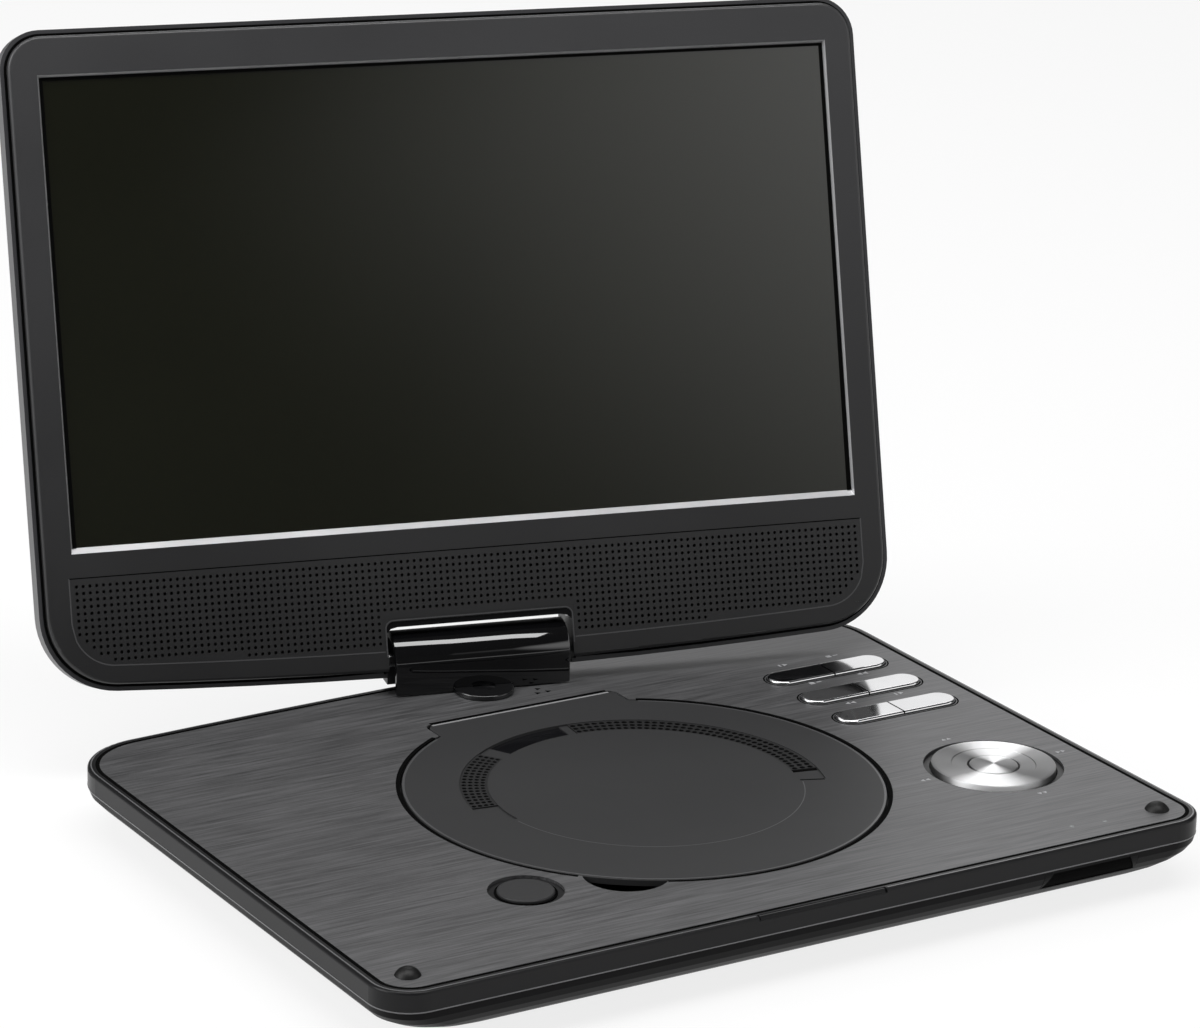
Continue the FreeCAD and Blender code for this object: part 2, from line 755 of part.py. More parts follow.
# ---- keys ---------------------------------------------------------------
key_board_z = 12.4
key_board_t = 1.0
key_board_x = (key_x - 23.0, key_x + 22.0)
key_board_y = (nav_y - 21.0, key_rear + 10.0)
key_board_posts = [(x, y) for x in (key_x - 21.2, key_x + 20.2)
                   for y in (nav_y - 18.0, key_rows[2] + key_pitch / 2, key_rows[1] + key_pitch / 2)]
key_stem_z = key_board_z + key_board_t + key_travel + 0.4
nav_plate_z = key_board_z + key_board_t + 0.35
nav_flange_z = key_board_z + key_board_t + 1.2


def key(row, side):
    y = key_rows[row]
    whole = pill(key_x, y, key_l - 2 * key_gap, key_w - 2 * key_gap, key_stem_z + 0.5, deck_z + key_proud)
    whole = round_edges(whole, 0.6, deck_z + key_proud)
    x0 = key_x + key_split / 2 if side > 0 else key_x - key_l
    x1 = key_x + key_l if side > 0 else key_x - key_split / 2
    cap = whole.common(box(x0, x1, y - key_w, y + key_w, 0, 30))
    stem_x = key_x + side * key_l / 4
    stem = box(stem_x - 4, stem_x + 4, y - 2, y + 2, key_stem_z, key_stem_z + 0.6)
    return join([cap, stem])


def key_board():
    return box(key_board_x[0], key_board_x[1], key_board_y[0], key_board_y[1],
               key_board_z, key_board_z + key_board_t)


def key_domes():
    """Snap domes on the key board, one under each key."""
    z = key_board_z + key_board_t
    solids = []
    for y in key_rows:
        for side in (-1, 1):
            solids.append(Part.makeCone(2.6, 1.6, 0.3, V(key_x + side * key_l / 4, y, z)))
    solids.append(Part.makeCone(1.6, 1.0, 0.3, V(nav_x, nav_y, z)))
    return Part.makeCompound(solids)


def nav_ring():
    ring = tube(nav_x, nav_y, key_stem_z + 0.1, deck_z + nav_proud, nav_r, nav_in_r)
    ring = round_edges(ring, 0.5, deck_z + nav_proud)
    flange = tube(nav_x, nav_y, nav_flange_z, nav_flange_z + nav_flange_t, nav_in_r + 0.5, 5.2)
    return join([ring, flange])


def nav_gimbal():
    return tube(nav_x, nav_y, nav_plate_z, nav_plate_z + nav_plate_t, 6.4, 3.0)


def nav_button():
    low = nav_flange_z + nav_flange_t + 0.9
    cap = round_edges(cyl(nav_x, nav_y, low, deck_z + nav_proud, nav_button_r), 0.5, deck_z + nav_proud)
    return join([cap, cyl(nav_x, nav_y, key_stem_z, low, 1.8)])


# ---- boards, battery and sockets ----------------------------------------
def main_board():
    return box(board_x0, board_x1, board_y0, board_y1, board_z, board_z + board_t)


def battery_pack():
    x0 = disc_x - chassis_w / 2 - battery_clear - battery_w
    z0 = wall + battery_gap
    return box(x0, x0 + battery_w, -battery_l / 2 + 5, battery_l / 2 + 5, z0, z0 + battery_h)


def jack(y):
    back = board_x1 + socket_back
    body = box(board_x1 - 8, back, y - 4, y + 4, board_z + board_t, socket_z + 3.2)
    nose = cyl_x(back, base_w / 2 - 1.2, y, socket_z, jack_nose_r)
    bore = cyl_x(base_w / 2 - 1.2 - jack_bore_l, side_reach, y, socket_z, jack_bore_r)
    return join([body, nose]).cut(bore)


def dc_jack():
    y = dc_y
    back = board_x1 + socket_back
    body = box(board_x1 - 8, back, y - 5, y + 5, board_z + board_t, socket_z + 3.2)
    nose = cyl_x(back, base_w / 2 - 1.6, y, socket_z, dc_bore_r + dc_wall)
    shell = join([body, nose]).cut(cyl_x(board_x1, side_reach, y, socket_z, dc_bore_r))
    return join([shell, cyl_x(board_x1 - 1, base_w / 2 - 4, y, socket_z, dc_pin_r)])


def usb_port():
    x1 = base_w / 2 - 1.4
    y = usb_y
    shell = box(board_x1 - 8, x1, y - 6.6, y + 6.6, socket_z - 2.6, socket_z + 2.6)
    mouth = box(board_x1 - 6, x1 + 1, y - 6.1, y + 6.1, socket_z - 2.2, socket_z + 2.2)
    tongue = box(board_x1 - 6, x1 - 1, y - 5.2, y + 5.2, socket_z + 0.2, socket_z + 1.6)
    legs = box(board_x1 - 7, board_x1 - 2, y - 5, y + 5, board_z + board_t, socket_z - 2.6)
    return join([shell.cut(mouth), tongue, legs])


def card_slot():
    x1 = base_w / 2 - 1.4
    y = card_y
    half, tall = card_w / 2, card_h / 2
    shell = box(board_x1 - 14, x1, y - half, y + half, socket_z - tall, socket_z + tall)
    mouth = box(board_x1 - 12, x1 + 1, y - half + card_wall, y + half - card_wall,
                socket_z - tall + card_wall, socket_z + tall - card_wall)
    legs = box(board_x1 - 13, board_x1 - 2, y - 10, y + 10, board_z + board_t, socket_z - tall)
    return join([shell.cut(mouth), legs])


def power_switch():
    x1 = base_w / 2 - 0.4
    knob = box(board_x1 + socket_back + 0.3, x1, switch_y - 3.2 - switch_travel / 2, switch_y + 3.2 - switch_travel / 2,
               socket_z - 1.3, socket_z + 1.3)
    return knob


def switch_body():
    return box(board_x1 - 6, board_x1 + socket_back, switch_y - 5, switch_y + 5, board_z + board_t, socket_z + 2.4)


def ir_window():
    y = -base_d / 2 + ir_depth
    return box(ir_x - ir_w / 2, ir_x + ir_w / 2, y - 1.2, y, rim_z - 1 - ir_h, rim_z - 1)


def status_leds():
    solids = []
    for x, y in led_places:
        pipe = cyl(x, y, plate_low - 1.0, deck_z, led_r)
        head = cyl(x, y, plate_low - 1.6, plate_low, led_r + 0.8)
        solids.append(join([pipe, head]))
    return Part.makeCompound(solids)


def screw_cross(x, y, z0, z1):
    """The two slots of a cross recess."""
    return [box(x - cross_half, x + cross_half, y - cross_w, y + cross_w, z0, z1),
            box(x - cross_w, x + cross_w, y - cross_half, y + cross_half, z0, z1)]


def base_screws():
    solids = []
    for x, y in screw_places:
        low = screw_seat_z - screw_head_h
        head = cyl(x, y, low, screw_seat_z, screw_head_r)
        shank = cyl(x, y, screw_seat_z, screw_seat_z + screw_shank_l, screw_shank_r)
        solids.append(cut_all(join([head, shank]), screw_cross(x, y, low - 1, low + cross_deep)))
    return Part.makeCompound(solids)


# ---- hinge --------------------------------------------------------------
def swivel_bearing():
    return tube(0, swivel_y, bearing_z, plate_low, bearing_r, shaft_r + running)


def swivel_shaft():
    low = deck_z + boss_gap
    disc = round_edges(cyl(0, swivel_y, low, low + boss_t, boss_r), 0.4, low + boss_t)
    stem = cyl(0, swivel_y, shaft_foot_z, low, shaft_r)
    shaft = join([disc, stem]).cut(cyl(0, swivel_y, 0, 30, shaft_bore_r))
    return turn_hinge(shaft)


def swivel_retainer():
    return turn_hinge(tube(0, swivel_y, bearing_z - 1.5, bearing_z - 0.3, bearing_r - 0.6, shaft_r))


core_low = deck_z + boss_gap + boss_t
core_t = 1.2
core_w = 34.0
ear_t = 2.5
ear_r = 5.0


def hinge_core():
    half = core_w / 2
    plate = box(-half, half, tilt_y - barrel_r + 1.0, tilt_y + 5.0, core_low, core_low + core_t)
    solids = [plate.cut(cyl(0, swivel_y, 0, 40, shaft_bore_r))]
    for side in (-1, 1):
        x0 = half - ear_t if side > 0 else -half
        solids.append(cyl_x(x0, x0 + ear_t, tilt_y, tilt_z, ear_r))
        solids.append(box(x0, x0 + ear_t, tilt_y - ear_r, tilt_y + ear_r, core_low + core_t, tilt_z))
    core = join(solids).cut(cyl_x(-half - 1, half + 1, tilt_y, tilt_z, pin_r))
    return turn_hinge(core)


def hinge_block():
    """Outside of the hinge block: a barrel on a skirt that ends just above the deck."""
    half = barrel_w / 2
    barrel = cyl_x(-half, half, tilt_y, tilt_z, barrel_r)
    skirt_low = deck_z + 0.5
    skirt = box(-half, half, tilt_y - barrel_r + 0.5, tilt_y + 6.0, skirt_low, tilt_z)
    block = join([barrel, skirt])
    half_in = half - 2.4
    hollow = cyl_x(-half_in, half_in, tilt_y, tilt_z, barrel_r - 1.6)
    seat = box(-core_w / 2 - 0.1, core_w / 2 + 0.1, tilt_y - barrel_r + 0.9, tilt_y + 5.1,
               skirt_low - 1, tilt_z)
    foot = cyl(0, swivel_y, 0, core_low, boss_r + 0.1)
    pins = cyl_x(-half - 1, half + 1, tilt_y, tilt_z, pin_r)
    return cut_all(block, [hollow, seat, foot, pins])


def hinge_front_cover():
    block = hinge_block()
    return turn_hinge(block.common(box(-40, 40, tilt_y - 20, tilt_y + 1.5, 0, 60)))


def hinge_rear_cover():
    block = hinge_block()
    return turn_hinge(block.common(box(-40, 40, tilt_y + 1.5, tilt_y + 20, 0, 60)))


def tilt_pins():
    solids = []
    for side in (-1, 1):
        inner = side * (core_w / 2 - ear_t)
        outer = side * (notch_w / 2 + notch_wall + 4.0)
        pin = cyl_x(min(inner, outer), max(inner, outer), tilt_y, tilt_z, pin_r)
        solids.append(turn_hinge(pin))
    return Part.makeCompound(solids)


# ---- lid, drawn closed and then opened -----------------------------------
def notch(grow):
    half = notch_w / 2 + grow
    deep = lid_rear - notch_d - grow
    block = box(-half, half, deep, lid_rear + 10, lid_face - 5, lid_back + 5)
    corners = []
    for edge in block.Edges:
        bounds = edge.BoundBox
        if bounds.ZLength > 5 and bounds.YMax < deep + 0.01:
            corners.append(edge)
    return block.makeFillet(notch_r + grow / 2, corners)


def across(low, high, width, z0, z1):
    """Box across the lid between two heights above its hinge edge."""
    return box(-width / 2, width / 2, lid_rear - high, lid_rear - low, z0, z1)


lid_screw_deep = 2.6
lid_screw_x = lid_w / 2 - 9.5
lid_screw_places = [(side * lid_screw_x, v) for v in (grille_high, lid_d - 6.0) for side in (-1, 1)]


def lid_back_cover():
    low = lid_face + bezel_t
    outer = round_edges(prism(lid_wire(0, low), lid_t - bezel_t), lid_round, lid_back)
    hollow = prism(lid_wire(lid_wall, low - 1), lid_t - bezel_t - lid_wall + 1).cut(notch(notch_wall))
    cover = outer.cut(hollow).cut(notch(0))
    posts = []
    for x, v in lid_screw_places:
        y = lid_rear - v
        posts.append(cyl(x, y, low + 0.8, lid_back - 1, 3.2).common(outer))
    cover = join([cover] + posts)
    cutters = [cyl_x(-40, 40, tilt_y, tilt_z, pin_r + 0.4)]
    for x, v in lid_screw_places:
        y = lid_rear - v
        cutters.append(cyl(x, y, low - 1, lid_back + 1, screw_shank_r + 0.2))
        cutters.append(cyl(x, y, lid_back - lid_screw_deep, lid_back + 1, screw_head_r + 0.2))
    return open_lid(cut_all(cover, cutters))


def grille_blank(grow, z0, z1):
    """Speaker grille's outline: straight top and ends, bowed lower edge."""
    half = grille_w / 2 + grow
    top = lid_rear - grille_high - grow
    end = lid_rear - grille_low_end + grow
    mid = lid_rear - grille_low + grow
    wire = Part.Wire([
        line(V(-half, end, z0), V(-half, top, z0)),
        line(V(-half, top, z0), V(half, top, z0)),
        line(V(half, top, z0), V(half, end, z0)),
        arc(V(half, end, z0), V(0, mid, z0), V(-half, end, z0)),
    ])
    return Part.Face(wire).extrude(V(0, 0, z1 - z0)).cut(notch(grille_border - grow))


def lid_front_bezel():
    plate = prism(lid_wire(bezel_inset, lid_face), bezel_t)
    plate = round_edges(plate, bezel_round, lid_face)
    window = across(window_low, window_high, window_w, lid_face - 1, lid_face + bezel_t + 1)
    recess = grille_blank(grille_fit, lid_face - 1, lid_face + grille_t + 0.1)
    cutters = [notch(0), window, recess]
    for side in (-1, 1):
        hole = across((grille_low_end + grille_high - speaker_w) / 2 + 2, (grille_low_end + grille_high + speaker_w) / 2 - 2,
                      speaker_l - 6, lid_face - 1, lid_face + bezel_t + 1)
        hole.translate(V(side * speaker_x, 0, 0))
        cutters.append(hole)
    plate = cut_all(plate, cutters)
    posts = []
    for x, v in lid_screw_places:
        posts.append(tube(x, lid_rear - v, lid_face + bezel_t - 0.5, lid_face + bezel_t + 0.8, 3.2, screw_shank_r))
    return open_lid(join([plate] + posts))


def speaker_grille():
    return open_lid(grille_blank(0, lid_face + 0.1, lid_face + 0.1 + grille_t))


def screen_glass():
    return open_lid(across(window_low + glass_gap, window_high - glass_gap, window_w - 2 * glass_gap,
                           lid_face + glass_recess, lid_face + glass_recess + glass_t))


def screen_frame():
    z0 = lid_face + bezel_t
    tray = across(window_low - 2.5, window_high + 2.5, window_w - 5.0, z0, z0 + 4.4)
    return open_lid(tray)


def speakers():
    z0 = lid_face + bezel_t
    middle = lid_rear - (grille_low_end + grille_high) / 2
    solids = []
    for side in (-1, 1):
        frame = pill(side * speaker_x, middle, speaker_l, speaker_w, z0, z0 + 1.6)
        magnet = cyl(side * speaker_x, middle, z0 + 1.6, z0 + speaker_h, speaker_w * 0.36)
        cone = pill(side * speaker_x, middle, speaker_l - 8, speaker_w - 8, z0 - 1, z0 + 0.8)
        solids.append(open_lid(join([frame, magnet]).cut(cone)))
    return Part.makeCompound(solids)


def hinge_bracket(side):
    x0 = notch_w / 2 + notch_wall + 0.3
    top = lid_back - lid_wall
    front = tilt_y - bracket_front
    upright = box(x0, x0 + bracket_t, front, tilt_y + pin_r + 0.6, lid_face + bezel_t + 0.4, top)
    flange = box(x0, x0 + bracket_l, front, tilt_y + 0.5, top - bracket_t + 0.5, top)
    bracket = join([upright, flange])
    bracket = bracket.cut(cyl_x(x0 - 1, x0 + bracket_t + 1, tilt_y, tilt_z, pin_r + running))
    for y in (front + 4.0, front + 9.5):
        bracket = bracket.cut(cyl(x0 + bracket_l - 5.0, y, 0, top + 1, screw_shank_r + 0.1))
    if side < 0:
        bracket = bracket.mirror(V(0, 0, 0), V(1, 0, 0))
    return open_lid(bracket)


def hinge_brackets():
    return Part.makeCompound([hinge_bracket(-1), hinge_bracket(1)])


def driver_board():
    z1 = lid_back - lid_wall
    low = z1 - driver_stand
    board = across(driver_low, driver_high, driver_w, low - driver_t, low)
    feet_solids = []
    for x in (-driver_w / 2 + 6.0, driver_w / 2 - 6.0):
        for v in (driver_low + 5.0, driver_high - 5.0):
            feet_solids.append(cyl(x, lid_rear - v, low, z1, 2.0))
    return open_lid(join([board] + feet_solids))


def lid_screws():
    solids = []
    for x, v in lid_screw_places:
        y = lid_rear - v
        seat = lid_back - lid_screw_deep
        head = cyl(x, y, seat, seat + screw_head_h, screw_head_r)
        shank = cyl(x, y, lid_face + bezel_t, seat, screw_shank_r)
        cross = screw_cross(x, y, seat + screw_head_h - cross_deep, lid_back)
        solids.append(open_lid(cut_all(join([head, shank]), cross)))
    return Part.makeCompound(solids)


# ---- write every piece ---------------------------------------------------
pieces = {
    "base_bottom_case": bottom_case,
    "base_top_case": top_case,
    "deck_plate": deck_plate,
    "rubber_feet": feet,
    "deck_bumpers": bumpers,
    "disc_bay_tray": bay_tray,
    "disc_cover": disc_cover,
    "cover_hinge_pins": cover_pins,
    "cover_window": cover_window,
    "cover_latch": cover_latch,
    "open_button": open_button,
    "drive_chassis": drive_chassis,
    "chassis_grommets": grommets,
    "sled_rails": sled_rails,
    "laser_pickup": laser_pickup,
    "pickup_lens": pickup_lens,
    "lead_screw": lead_screw,
    "sled_motor": sled_motor,
    "spindle_motor": spindle_motor,
    "turntable": turntable,
    "hub_balls": hub_balls,
    "key_board": key_board,
    "key_domes": key_domes,
    "nav_ring": nav_ring,
    "nav_gimbal": nav_gimbal,
    "nav_button": nav_button,
    "main_board": main_board,
    "battery_pack": battery_pack,
    "headphone_jack": lambda: jack(headphone_y),
    "av_jack": lambda: jack(av_y),
    "dc_jack": dc_jack,
    "usb_port": usb_port,
    "card_slot": card_slot,
    "power_switch_knob": power_switch,
    "power_switch_body": switch_body,
    "ir_window": ir_window,
    "status_leds": status_leds,
    "base_screws": base_screws,
    "swivel_bearing": swivel_bearing,
    "swivel_shaft": swivel_shaft,
    "swivel_retainer": swivel_retainer,
    "hinge_core": hinge_core,
    "hinge_front_cover": hinge_front_cover,
    "hinge_rear_cover": hinge_rear_cover,
    "tilt_pins": tilt_pins,
    "lid_back_cover": lid_back_cover,
    "lid_front_bezel": lid_front_bezel,
    "speaker_grille": speaker_grille,
    "screen_glass": screen_glass,
    "screen_frame": screen_frame,
    "speakers": speakers,
    "hinge_brackets": hinge_brackets,
    "driver_board": driver_board,
    "lid_screws": lid_screws,
}
for number in range(len(key_rows)):
    pieces["key_%d_left" % (number + 1)] = lambda row=number: key(row, -1)
    pieces["key_%d_right" % (number + 1)] = lambda row=number: key(row, 1)

for name, make in pieces.items():
    shape = make()
    save(name, shape)
    print(name, len(shape.Solids), round(shape.Volume), shape.isValid())
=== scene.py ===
import json
import math

import bpy
from mathutils import Matrix, Vector


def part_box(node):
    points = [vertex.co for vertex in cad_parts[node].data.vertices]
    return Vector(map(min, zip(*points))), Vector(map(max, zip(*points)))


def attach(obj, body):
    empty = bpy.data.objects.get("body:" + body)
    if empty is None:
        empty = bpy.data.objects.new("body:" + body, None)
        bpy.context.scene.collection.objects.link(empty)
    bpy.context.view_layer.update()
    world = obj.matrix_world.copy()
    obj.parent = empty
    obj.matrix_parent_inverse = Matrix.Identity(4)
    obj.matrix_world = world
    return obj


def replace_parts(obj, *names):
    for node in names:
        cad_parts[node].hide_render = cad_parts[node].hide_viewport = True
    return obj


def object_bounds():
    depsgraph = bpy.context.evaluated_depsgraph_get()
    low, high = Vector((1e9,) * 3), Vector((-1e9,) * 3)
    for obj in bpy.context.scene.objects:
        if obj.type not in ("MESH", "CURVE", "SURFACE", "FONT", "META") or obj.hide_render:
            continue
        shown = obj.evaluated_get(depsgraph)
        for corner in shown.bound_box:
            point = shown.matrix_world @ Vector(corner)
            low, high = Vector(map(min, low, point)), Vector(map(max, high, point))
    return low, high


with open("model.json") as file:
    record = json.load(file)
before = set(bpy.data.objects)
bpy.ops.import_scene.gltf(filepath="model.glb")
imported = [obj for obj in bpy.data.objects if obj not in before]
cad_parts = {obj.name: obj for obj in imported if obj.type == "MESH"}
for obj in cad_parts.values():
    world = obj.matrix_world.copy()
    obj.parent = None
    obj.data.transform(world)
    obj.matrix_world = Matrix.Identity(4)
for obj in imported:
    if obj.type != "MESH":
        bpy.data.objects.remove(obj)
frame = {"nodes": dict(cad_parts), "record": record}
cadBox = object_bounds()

mm = 0.001

# places shared with the solids
joints = {joint["name"]: joint for joint in frame["record"]["behaviour"]["joints"]}
swivelPivot = Vector(joints["lid_swivel"]["pos_m"]) / mm
tiltPivot = Vector(joints["lid_tilt"]["pos_m"]) / mm
swivelAngle = -math.radians(joints["lid_swivel"]["range_deg"][1])
openAngle = -math.radians(joints["lid_tilt"]["range_deg"][0])

discPivot = Vector(joints["spindle_turn"]["pos_m"]) / mm

deck = {"top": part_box("deck_plate")[1][2] / mm}
lid = {"gap": 2.37, "edge": 5.0, "bezel": 2.5}

swivelTurn = (Matrix.Translation(swivelPivot) @ Matrix.Rotation(swivelAngle, 4, "Z")
              @ Matrix.Translation(-swivelPivot))
straightTilt = swivelTurn.inverted() @ tiltPivot
lidTurn = (swivelTurn @ Matrix.Translation(straightTilt)
           @ Matrix.Rotation(openAngle, 4, Vector((-1, 0, 0))) @ Matrix.Translation(-straightTilt))
lidRear = straightTilt.y + lid["edge"]
lidFace = deck["top"] + lid["gap"]


def onDeck(x, y, z):
    return Vector((x, y, deck["top"] + z))


def onHinge(x, y, z):
    return swivelTurn @ Vector((x, y, z))


# u across, v up from the hinge edge, depth into the lid from its face
def onLid(u, v, depth):
    return lidTurn @ Vector((u, lidRear - v, lidFace + depth))


def onDisc(angle, radius, z):
    turn = math.radians(angle)
    return onDeck(discPivot.x + radius * math.cos(turn), discPivot.y + radius * math.sin(turn), z)


# finishes: every one is built from nodes
def newFinish(name):
    finish = bpy.data.materials.new(name)
    finish.use_nodes = True
    shader = finish.node_tree.nodes["Principled BSDF"]
    return finish, finish.node_tree, shader


def wireFinish(tree, shader, colour, rough, normal=None):
    for key, socket in (("Base Color", colour), ("Roughness", rough), ("Normal", normal)):
        if socket is not None:
            tree.links.new(socket, shader.inputs[key])


def addNode(tree, kind, **values):
    node = tree.nodes.new(kind)
    for key, value in values.items():
        if key in node.inputs:
            node.inputs[key].default_value = value
        else:
            setattr(node, key, value)
    return node


# object coordinates in metres, stretched along the axes
def placeNode(tree, stretch=(1, 1, 1)):
    coords = tree.nodes.new("ShaderNodeTexCoord")
    mapping = addNode(tree, "ShaderNodeMapping", Scale=stretch)
    tree.links.new(coords.outputs["Object"], mapping.inputs["Vector"])
    return mapping.outputs["Vector"]


def noiseNode(tree, where, scale, detail=3.0, rough=0.5):
    noise = addNode(tree, "ShaderNodeTexNoise", Scale=scale, Detail=detail, Roughness=rough)
    tree.links.new(where, noise.inputs["Vector"])
    return noise.outputs["Fac"]


def toneNode(tree, factor, dark, light, low=0.3, high=0.7):
    ramp = tree.nodes.new("ShaderNodeValToRGB")
    for stop, place, tone in zip(ramp.color_ramp.elements, (low, high), (dark, light)):
        stop.position = place
        stop.color = (*tone, 1)
    tree.links.new(factor, ramp.inputs["Fac"])
    return ramp.outputs["Color"]


def rangeNode(tree, factor, low, high, lowLevel, highLevel):
    node = tree.nodes.new("ShaderNodeMapRange")
    levels = {"From Min": low, "From Max": high, "To Min": lowLevel, "To Max": highLevel}
    for key, value in levels.items():
        node.inputs[key].default_value = value
    tree.links.new(factor, node.inputs["Value"])
    return node


# spreads the middle of a noise over two levels
def spanNode(tree, factor, low, high):
    return rangeNode(tree, factor, 0.3, 0.7, low, high).outputs["Result"]


# a sum on sockets or plain numbers
def mathNode(tree, operation, first, second, third=None):
    node = addNode(tree, "ShaderNodeMath", operation=operation)
    for k, value in enumerate((first, second, third)):
        if isinstance(value, (int, float)):
            node.inputs[k].default_value = value
        elif value is not None:
            tree.links.new(value, node.inputs[k])
    return node.outputs[0]


def bumpNode(tree, height, strength, distance):
    bump = addNode(tree, "ShaderNodeBump", Strength=strength, Distance=distance)
    tree.links.new(height, bump.inputs["Height"])
    return bump.outputs["Normal"]


# two colours multiplied
def productNode(tree, first, second):
    mix = addNode(tree, "ShaderNodeMix", data_type="RGBA", blend_type="MULTIPLY")
    mix.inputs["Factor"].default_value = 1.0
    tree.links.new(first, mix.inputs[6])
    tree.links.new(second, mix.inputs[7])
    return mix.outputs[2]


def axesNode(tree):
    coords = tree.nodes.new("ShaderNodeTexCoord")
    axes = tree.nodes.new("ShaderNodeSeparateXYZ")
    tree.links.new(coords.outputs["Object"], axes.inputs[0])
    return axes.outputs


def spreadTone(tone, spread):
    return [channel * (1 - spread) for channel in tone], [channel * (1 + spread) for channel in tone]


# painted light: the colour made darker or lighter with height, standing in for light that falls from above
def paintedTopLightNode(tree, colour, low, high, lowLevel, highLevel):
    level = rangeNode(tree, axesNode(tree)["Z"], low * mm, high * mm, lowLevel, highLevel)
    scaled = addNode(tree, "ShaderNodeVectorMath", operation="SCALE")
    tree.links.new(colour, scaled.inputs[0])
    tree.links.new(level.outputs["Result"], scaled.inputs["Scale"])
    return scaled.outputs[0]


# moulded plastic or rubber: fine grain in tone, roughness and height; with rise given, also painted light
# that changes the colour with height
def mouldedFinish(name, tone, rough=0.5, grain=0.35, grainSize=0.35, spread=0.06, shine=0.5, rise=None):
    finish, tree, shader = newFinish(name)
    where = placeNode(tree)
    fine = noiseNode(tree, where, 1 / (grainSize * mm), 2.0)
    broad = noiseNode(tree, where, 18.0, 3.0)
    colour = toneNode(tree, broad, *spreadTone(tone, spread))
    if rise:
        colour = paintedTopLightNode(tree, colour, *rise)
    wireFinish(tree, shader, colour, spanNode(tree, broad, rough - 0.04, rough + 0.04),
               bumpNode(tree, fine, grain, 0.06 * mm))
    shader.inputs["Specular IOR Level"].default_value = shine
    return finish


# sheet metal with long fine streaks along X
def brushedFinish(name, tone, rough, metal, streak, spread, bump):
    finish, tree, shader = newFinish(name)
    fine = noiseNode(tree, placeNode(tree, streak), 1.0, 5.0, 0.62)
    broad = noiseNode(tree, placeNode(tree, (3, 90, 30)), 1.0, 2.0)
    streaks = toneNode(tree, fine, *spreadTone(tone, spread), 0.28, 0.72)
    bands = toneNode(tree, broad, (0.96, 0.96, 0.96), (1.03, 1.03, 1.03))
    wireFinish(tree, shader, productNode(tree, streaks, bands),
               spanNode(tree, fine, rough - 0.06, rough + 0.1), bumpNode(tree, fine, bump, 0.04 * mm))
    shader.inputs["Metallic"].default_value = metal
    return finish


# gloss plastic or bright plating with faint smudges
def polishedFinish(name, tone, rough, metal=0.0, shine=0.5, smudge=0.03):
    finish, tree, shader = newFinish(name)
    broad = noiseNode(tree, placeNode(tree), 60.0, 4.0)
    wireFinish(tree, shader, toneNode(tree, broad, *spreadTone(tone, 0.04)),
               spanNode(tree, broad, rough, rough + smudge), bumpNode(tree, broad, 0.05, 0.05 * mm))
    shader.inputs["Metallic"].default_value = metal
    shader.inputs["Specular IOR Level"].default_value = shine
    return finish


# metal turned on a lathe: rings about the middle of the piece, and a painted sheen that lightens two
# opposite sectors
def turnedFinish(name, tone, rough, pitch=0.09, sheenTurn=58):
    finish, tree, shader = newFinish(name)
    coords = tree.nodes.new("ShaderNodeTexCoord")
    rings = addNode(tree, "ShaderNodeTexWave", Scale=1 / (pitch * mm * 20), Distortion=0.0, Detail=2.0,
                    wave_type="RINGS", rings_direction="Z")
    rings.inputs["Detail Scale"].default_value = 3.0
    tree.links.new(coords.outputs["Object"], rings.inputs["Vector"])
    ringLevel = rings.outputs["Fac"]
    grooves = toneNode(tree, ringLevel, *spreadTone(tone, 0.07), 0.0, 1.0)
    # painted sheen: the colour is lighter in two opposite sectors and darker between them, standing in for
    # the light fanned out by a turned face, so its tone goes round twice in a turn
    axes = axesNode(tree)
    angle = mathNode(tree, "ARCTAN2", axes["Y"], axes["X"])
    twice = mathNode(tree, "MULTIPLY", mathNode(tree, "SUBTRACT", angle, math.radians(sheenTurn)), 2.0)
    level = mathNode(tree, "MULTIPLY_ADD", mathNode(tree, "COSINE", twice, 0.0), 0.5, 0.5)
    paintedSheen = toneNode(tree, level, (0.68, 0.68, 0.68), (1.6, 1.6, 1.6), 0.45, 0.8)
    wireFinish(tree, shader, productNode(tree, grooves, paintedSheen),
               spanNode(tree, ringLevel, rough - 0.03, rough + 0.05),
               bumpNode(tree, ringLevel, 0.12, 0.01 * mm))
    shader.inputs["Metallic"].default_value = 1.0
    shader.inputs["Anisotropic"].default_value = 0.9
    shader.inputs["Anisotropic Rotation"].default_value = 0.25
    tangent = addNode(tree, "ShaderNodeTangent", direction_type="RADIAL", axis="Z")
    tree.links.new(tangent.outputs["Tangent"], shader.inputs["Tangent"])
    return finish


# circuit board: lacquer with tracks and pads
def boardFinish(name, tone, track):
    finish, tree, shader = newFinish(name)
    where = placeNode(tree)
    tracks = addNode(tree, "ShaderNodeTexBrick", Scale=160.0)
    tracks.inputs["Color1"].default_value = (*tone, 1)
    tracks.inputs["Color2"].default_value = (*[channel * 0.8 for channel in tone], 1)
    tracks.inputs["Mortar"].default_value = (*track, 1)
    tracks.inputs["Mortar Size"].default_value = 0.03
    tree.links.new(where, tracks.inputs["Vector"])
    wireFinish(tree, shader, tracks.outputs["Color"],
               spanNode(tree, noiseNode(tree, where, 400.0), 0.3, 0.45))
    return finish


# glass and clear plastic
def clearFinish(name, tone, rough, shine, see=0.0):
    finish, tree, shader = newFinish(name)
    broad = noiseNode(tree, placeNode(tree), 12.0, 4.0)
    wireFinish(tree, shader, toneNode(tree, broad, *spreadTone(tone, 0.08)),
               spanNode(tree, broad, rough, rough + 0.02))
    shader.inputs["Specular IOR Level"].default_value = shine
    shader.inputs["Transmission Weight"].default_value = see
    return finish


